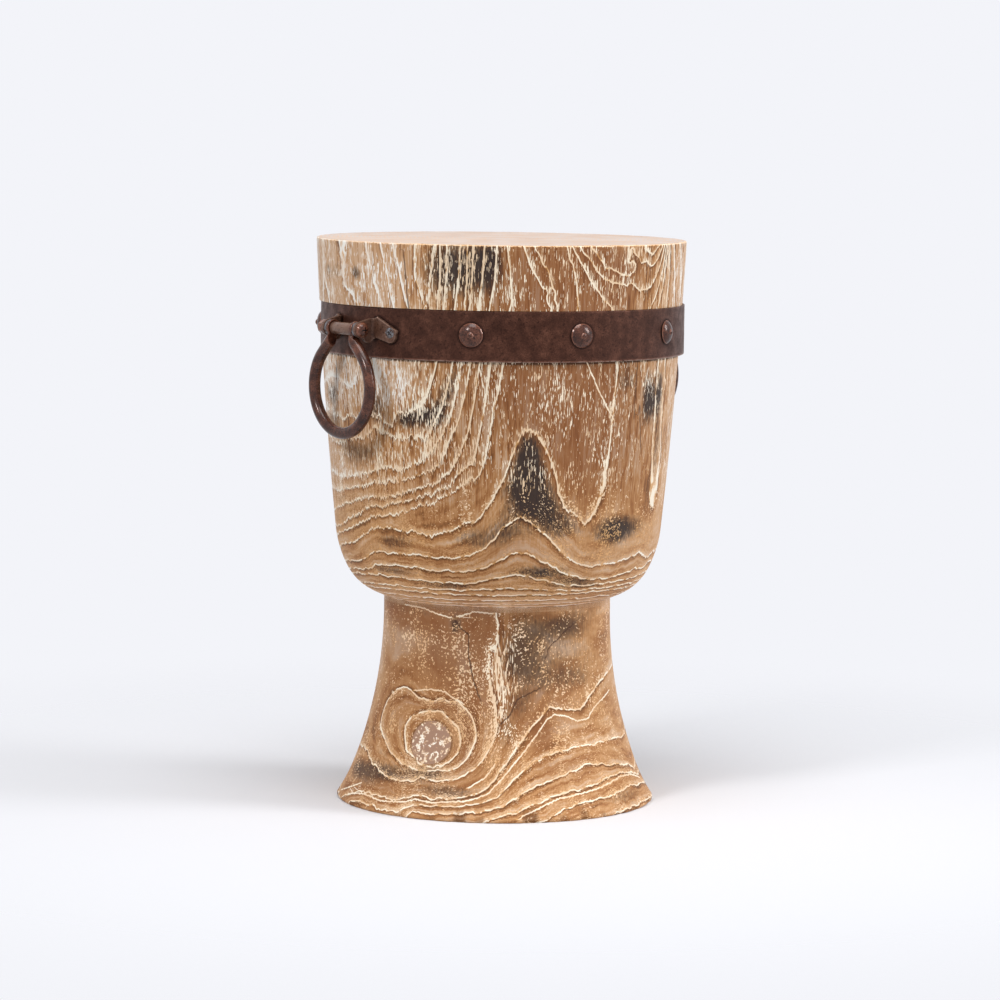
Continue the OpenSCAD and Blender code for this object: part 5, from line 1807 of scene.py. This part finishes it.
@dataclass(frozen=True)
class Studio:
    """Plain pale floor, soft lamps, and the camera where the photographer's stood."""

    camera_at: Triple = (-2.0054, -2.4942, 0.5663)
    focal_px: float = 4007.63
    pitch: float = 0.10160
    yaw: float = 0.000406
    roll: float = 0.012989
    backdrop: str = "#f3f4f9"
    floor: str = "#e9eaef"
    floor_size: float = 14.0
    # Distances from the stool at which the floor starts and ends melting into the backdrop, in metres
    melt: Pair = (0.12, 0.85)
    world_strength: float = 0.4
    # Height that the lamps face, and how far the floor lies below the foot, so that the two faces do not fight
    aim_height: float = 0.25
    floor_drop: float = 0.05 * MM

    def build(self) -> None:
        """Makes the camera, the lamps, the floor and the world."""
        bpy.context.scene.view_settings.view_transform = "Standard"
        self._camera()
        self._floor()
        self._world()
        # name, position, size, strength in watts
        lamps = [
            ("key_right", (2.8, -0.6, 1.6), (0.9, 1.5), 52.0),
            ("key_left", (-2.2, -2.8, 2.7), (0.8, 0.8), 60.0),
            ("overhead", (0.0, -0.7, 2.3), (1.2, 1.2), 24.0),
        ]
        for name, at, size, power in lamps:
            self._lamp(name, at, size, power)

    def _camera(self) -> None:
        """Makes the camera from its fitted place, pitch, yaw and roll."""
        turn = Matrix.Rotation(math.radians(CAMERA_BEARING + 90), 3, "Z")
        ahead = Vector((
            math.sin(self.yaw) * math.cos(self.pitch), math.cos(self.yaw) * math.cos(self.pitch), -math.sin(self.pitch),
        ))
        right = ahead.cross(Vector((0, 0, 1))).normalized()
        up = right.cross(ahead)
        right, up = (
            right * math.cos(self.roll) + up * math.sin(self.roll),
            up * math.cos(self.roll) - right * math.sin(self.roll),
        )
        axes = [turn @ v for v in (right, up, -ahead)]
        data = bpy.data.cameras.new("camera")
        data.sensor_width = SENSOR_MM
        data.lens = self.focal_px * SENSOR_MM / FRAME_PX
        data.clip_start, data.clip_end = 0.05, 60.0
        made = bpy.data.objects.new("camera", data)
        bpy.context.scene.collection.objects.link(made)
        pose = Matrix([[axes[c][r] for c in range(3)] for r in range(3)]).to_4x4()
        pose.translation = Vector(self.camera_at)
        made.matrix_world = pose
        bpy.context.scene.camera = made

    def _lamp(self, name: str, at: Triple, size: Pair, power: float) -> None:
        """Makes a soft box that faces the stool.

        Args:
            name: Name of the lamp.
            at: Its place as the camera sees it: to the right, away and up, in metres from the stool's foot.
            size: Width and height of its face, in metres.
            power: In watts.
        """
        data = bpy.data.lights.new(name, "AREA")
        data.shape = "RECTANGLE"
        data.size, data.size_y = size
        data.energy = power
        made = bpy.data.objects.new(name, data)
        bpy.context.scene.collection.objects.link(made)
        place = Matrix.Rotation(math.radians(CAMERA_BEARING + 90), 3, "Z") @ Vector(at)
        aim = Vector((0, 0, self.aim_height)) - place
        pose = aim.to_track_quat("-Z", "Y").to_matrix().to_4x4()
        pose.translation = place
        made.matrix_world = pose

    def _floor(self) -> None:
        """Makes the floor, which melts into the backdrop with distance from the stool."""
        half = self.floor_size / 2
        mesh = bpy.data.meshes.new("floor")
        mesh.from_pydata([(-half, -half, 0), (half, -half, 0), (half, half, 0), (-half, half, 0)], [], [(0, 1, 2, 3)])
        made = link_object("floor", mesh)
        mesh.transform(Matrix.Translation((0, 0, -self.floor_drop)))
        finish = bpy.data.materials.new("matt_white_floor")
        finish.use_nodes = True
        tree = finish.node_tree
        tree.nodes.clear()
        place = add(tree, "ShaderNodeTexCoord").outputs["Object"]
        away = add(tree, "ShaderNodeVectorMath", {0: place}, operation="LENGTH").outputs["Value"]
        far = add(tree, "ShaderNodeMapRange", {
            "Value": away, "From Min": self.melt[0], "From Max": self.melt[1],
        }, interpolation_type="SMOOTHSTEP")
        plain = add(tree, "ShaderNodeBsdfDiffuse", {"Color": linear(self.floor)})
        clear = add(tree, "ShaderNodeBsdfTransparent")
        mixed = add(tree, "ShaderNodeMixShader", {0: far.outputs[0], 1: plain.outputs[0], 2: clear.outputs[0]})
        add(tree, "ShaderNodeOutputMaterial", {"Surface": mixed.outputs[0]})
        mesh.materials.append(finish)

    def _world(self) -> None:
        """Makes a plain world: soft light for the object, the backdrop's colour for camera and reflections."""
        world = bpy.data.worlds.new("studio")
        bpy.context.scene.world = world
        world.use_nodes = True
        tree = world.node_tree
        tree.nodes.clear()
        rays = add(tree, "ShaderNodeLightPath").outputs
        shown = add(tree, "ShaderNodeMath", {
            0: rays["Is Camera Ray"],
            1: add(tree, "ShaderNodeMath", {0: rays["Is Glossy Ray"], 1: rays["Is Transmission Ray"]},
                   operation="MAXIMUM").outputs[0],
        }, operation="MAXIMUM")
        light = add(tree, "ShaderNodeBackground", {"Color": (1, 1, 1, 1), "Strength": self.world_strength})
        seen = add(tree, "ShaderNodeBackground", {"Color": linear(self.backdrop), "Strength": 1.0})
        mixed = add(tree, "ShaderNodeMixShader", {0: shown.outputs[0], 1: light.outputs[0], 2: seen.outputs[0]})
        add(tree, "ShaderNodeOutputWorld", {"Surface": mixed.outputs[0]})


def main() -> None:
    """Builds the stool piece by piece, then the studio round it."""
    logging.basicConfig(level=logging.INFO, format="%(name)s: %(message)s")
    # Old turned wood: warm brown under white ring lines, gold where the lime is thin, nearly black where it was charred
    teak = LimedTeak("limed_teak").build()
    # A dry, dark band with a rusty cast that sets off the pale wood
    iron = RustyIron("rusty_strap_iron", worn="#70493a").build()
    # Darker and smoother, with small highlights: rings, nails and bolts that hands and cloths rubbed
    rubbed = RustyIron(
        "rubbed_forged_iron", dark="#180b07", base="#43241a", worn="#85533f", roughness=0.19, metallic=0.1, gloss=0.36,
    ).build()
    # Paler brown sheet, which keeps brackets and spacers apart from the hoop behind them
    sheet = RustyIron("brown_sheet_iron", base="#5e4032", worn="#84685a", roughness=0.36, gloss=0.3).build()
    # Cool grey specks between the browns: the washers beside the eyes, and the screws
    zinc = DullZinc("dull_zinc").build()
    log = TurnedLog(teak).build()
    LOG.info("log: %d vertices", len(log.data.vertices))
    Ironwork(iron, rubbed, sheet, zinc).build()
    Studio().build()


if __name__ == "__main__":
    main()
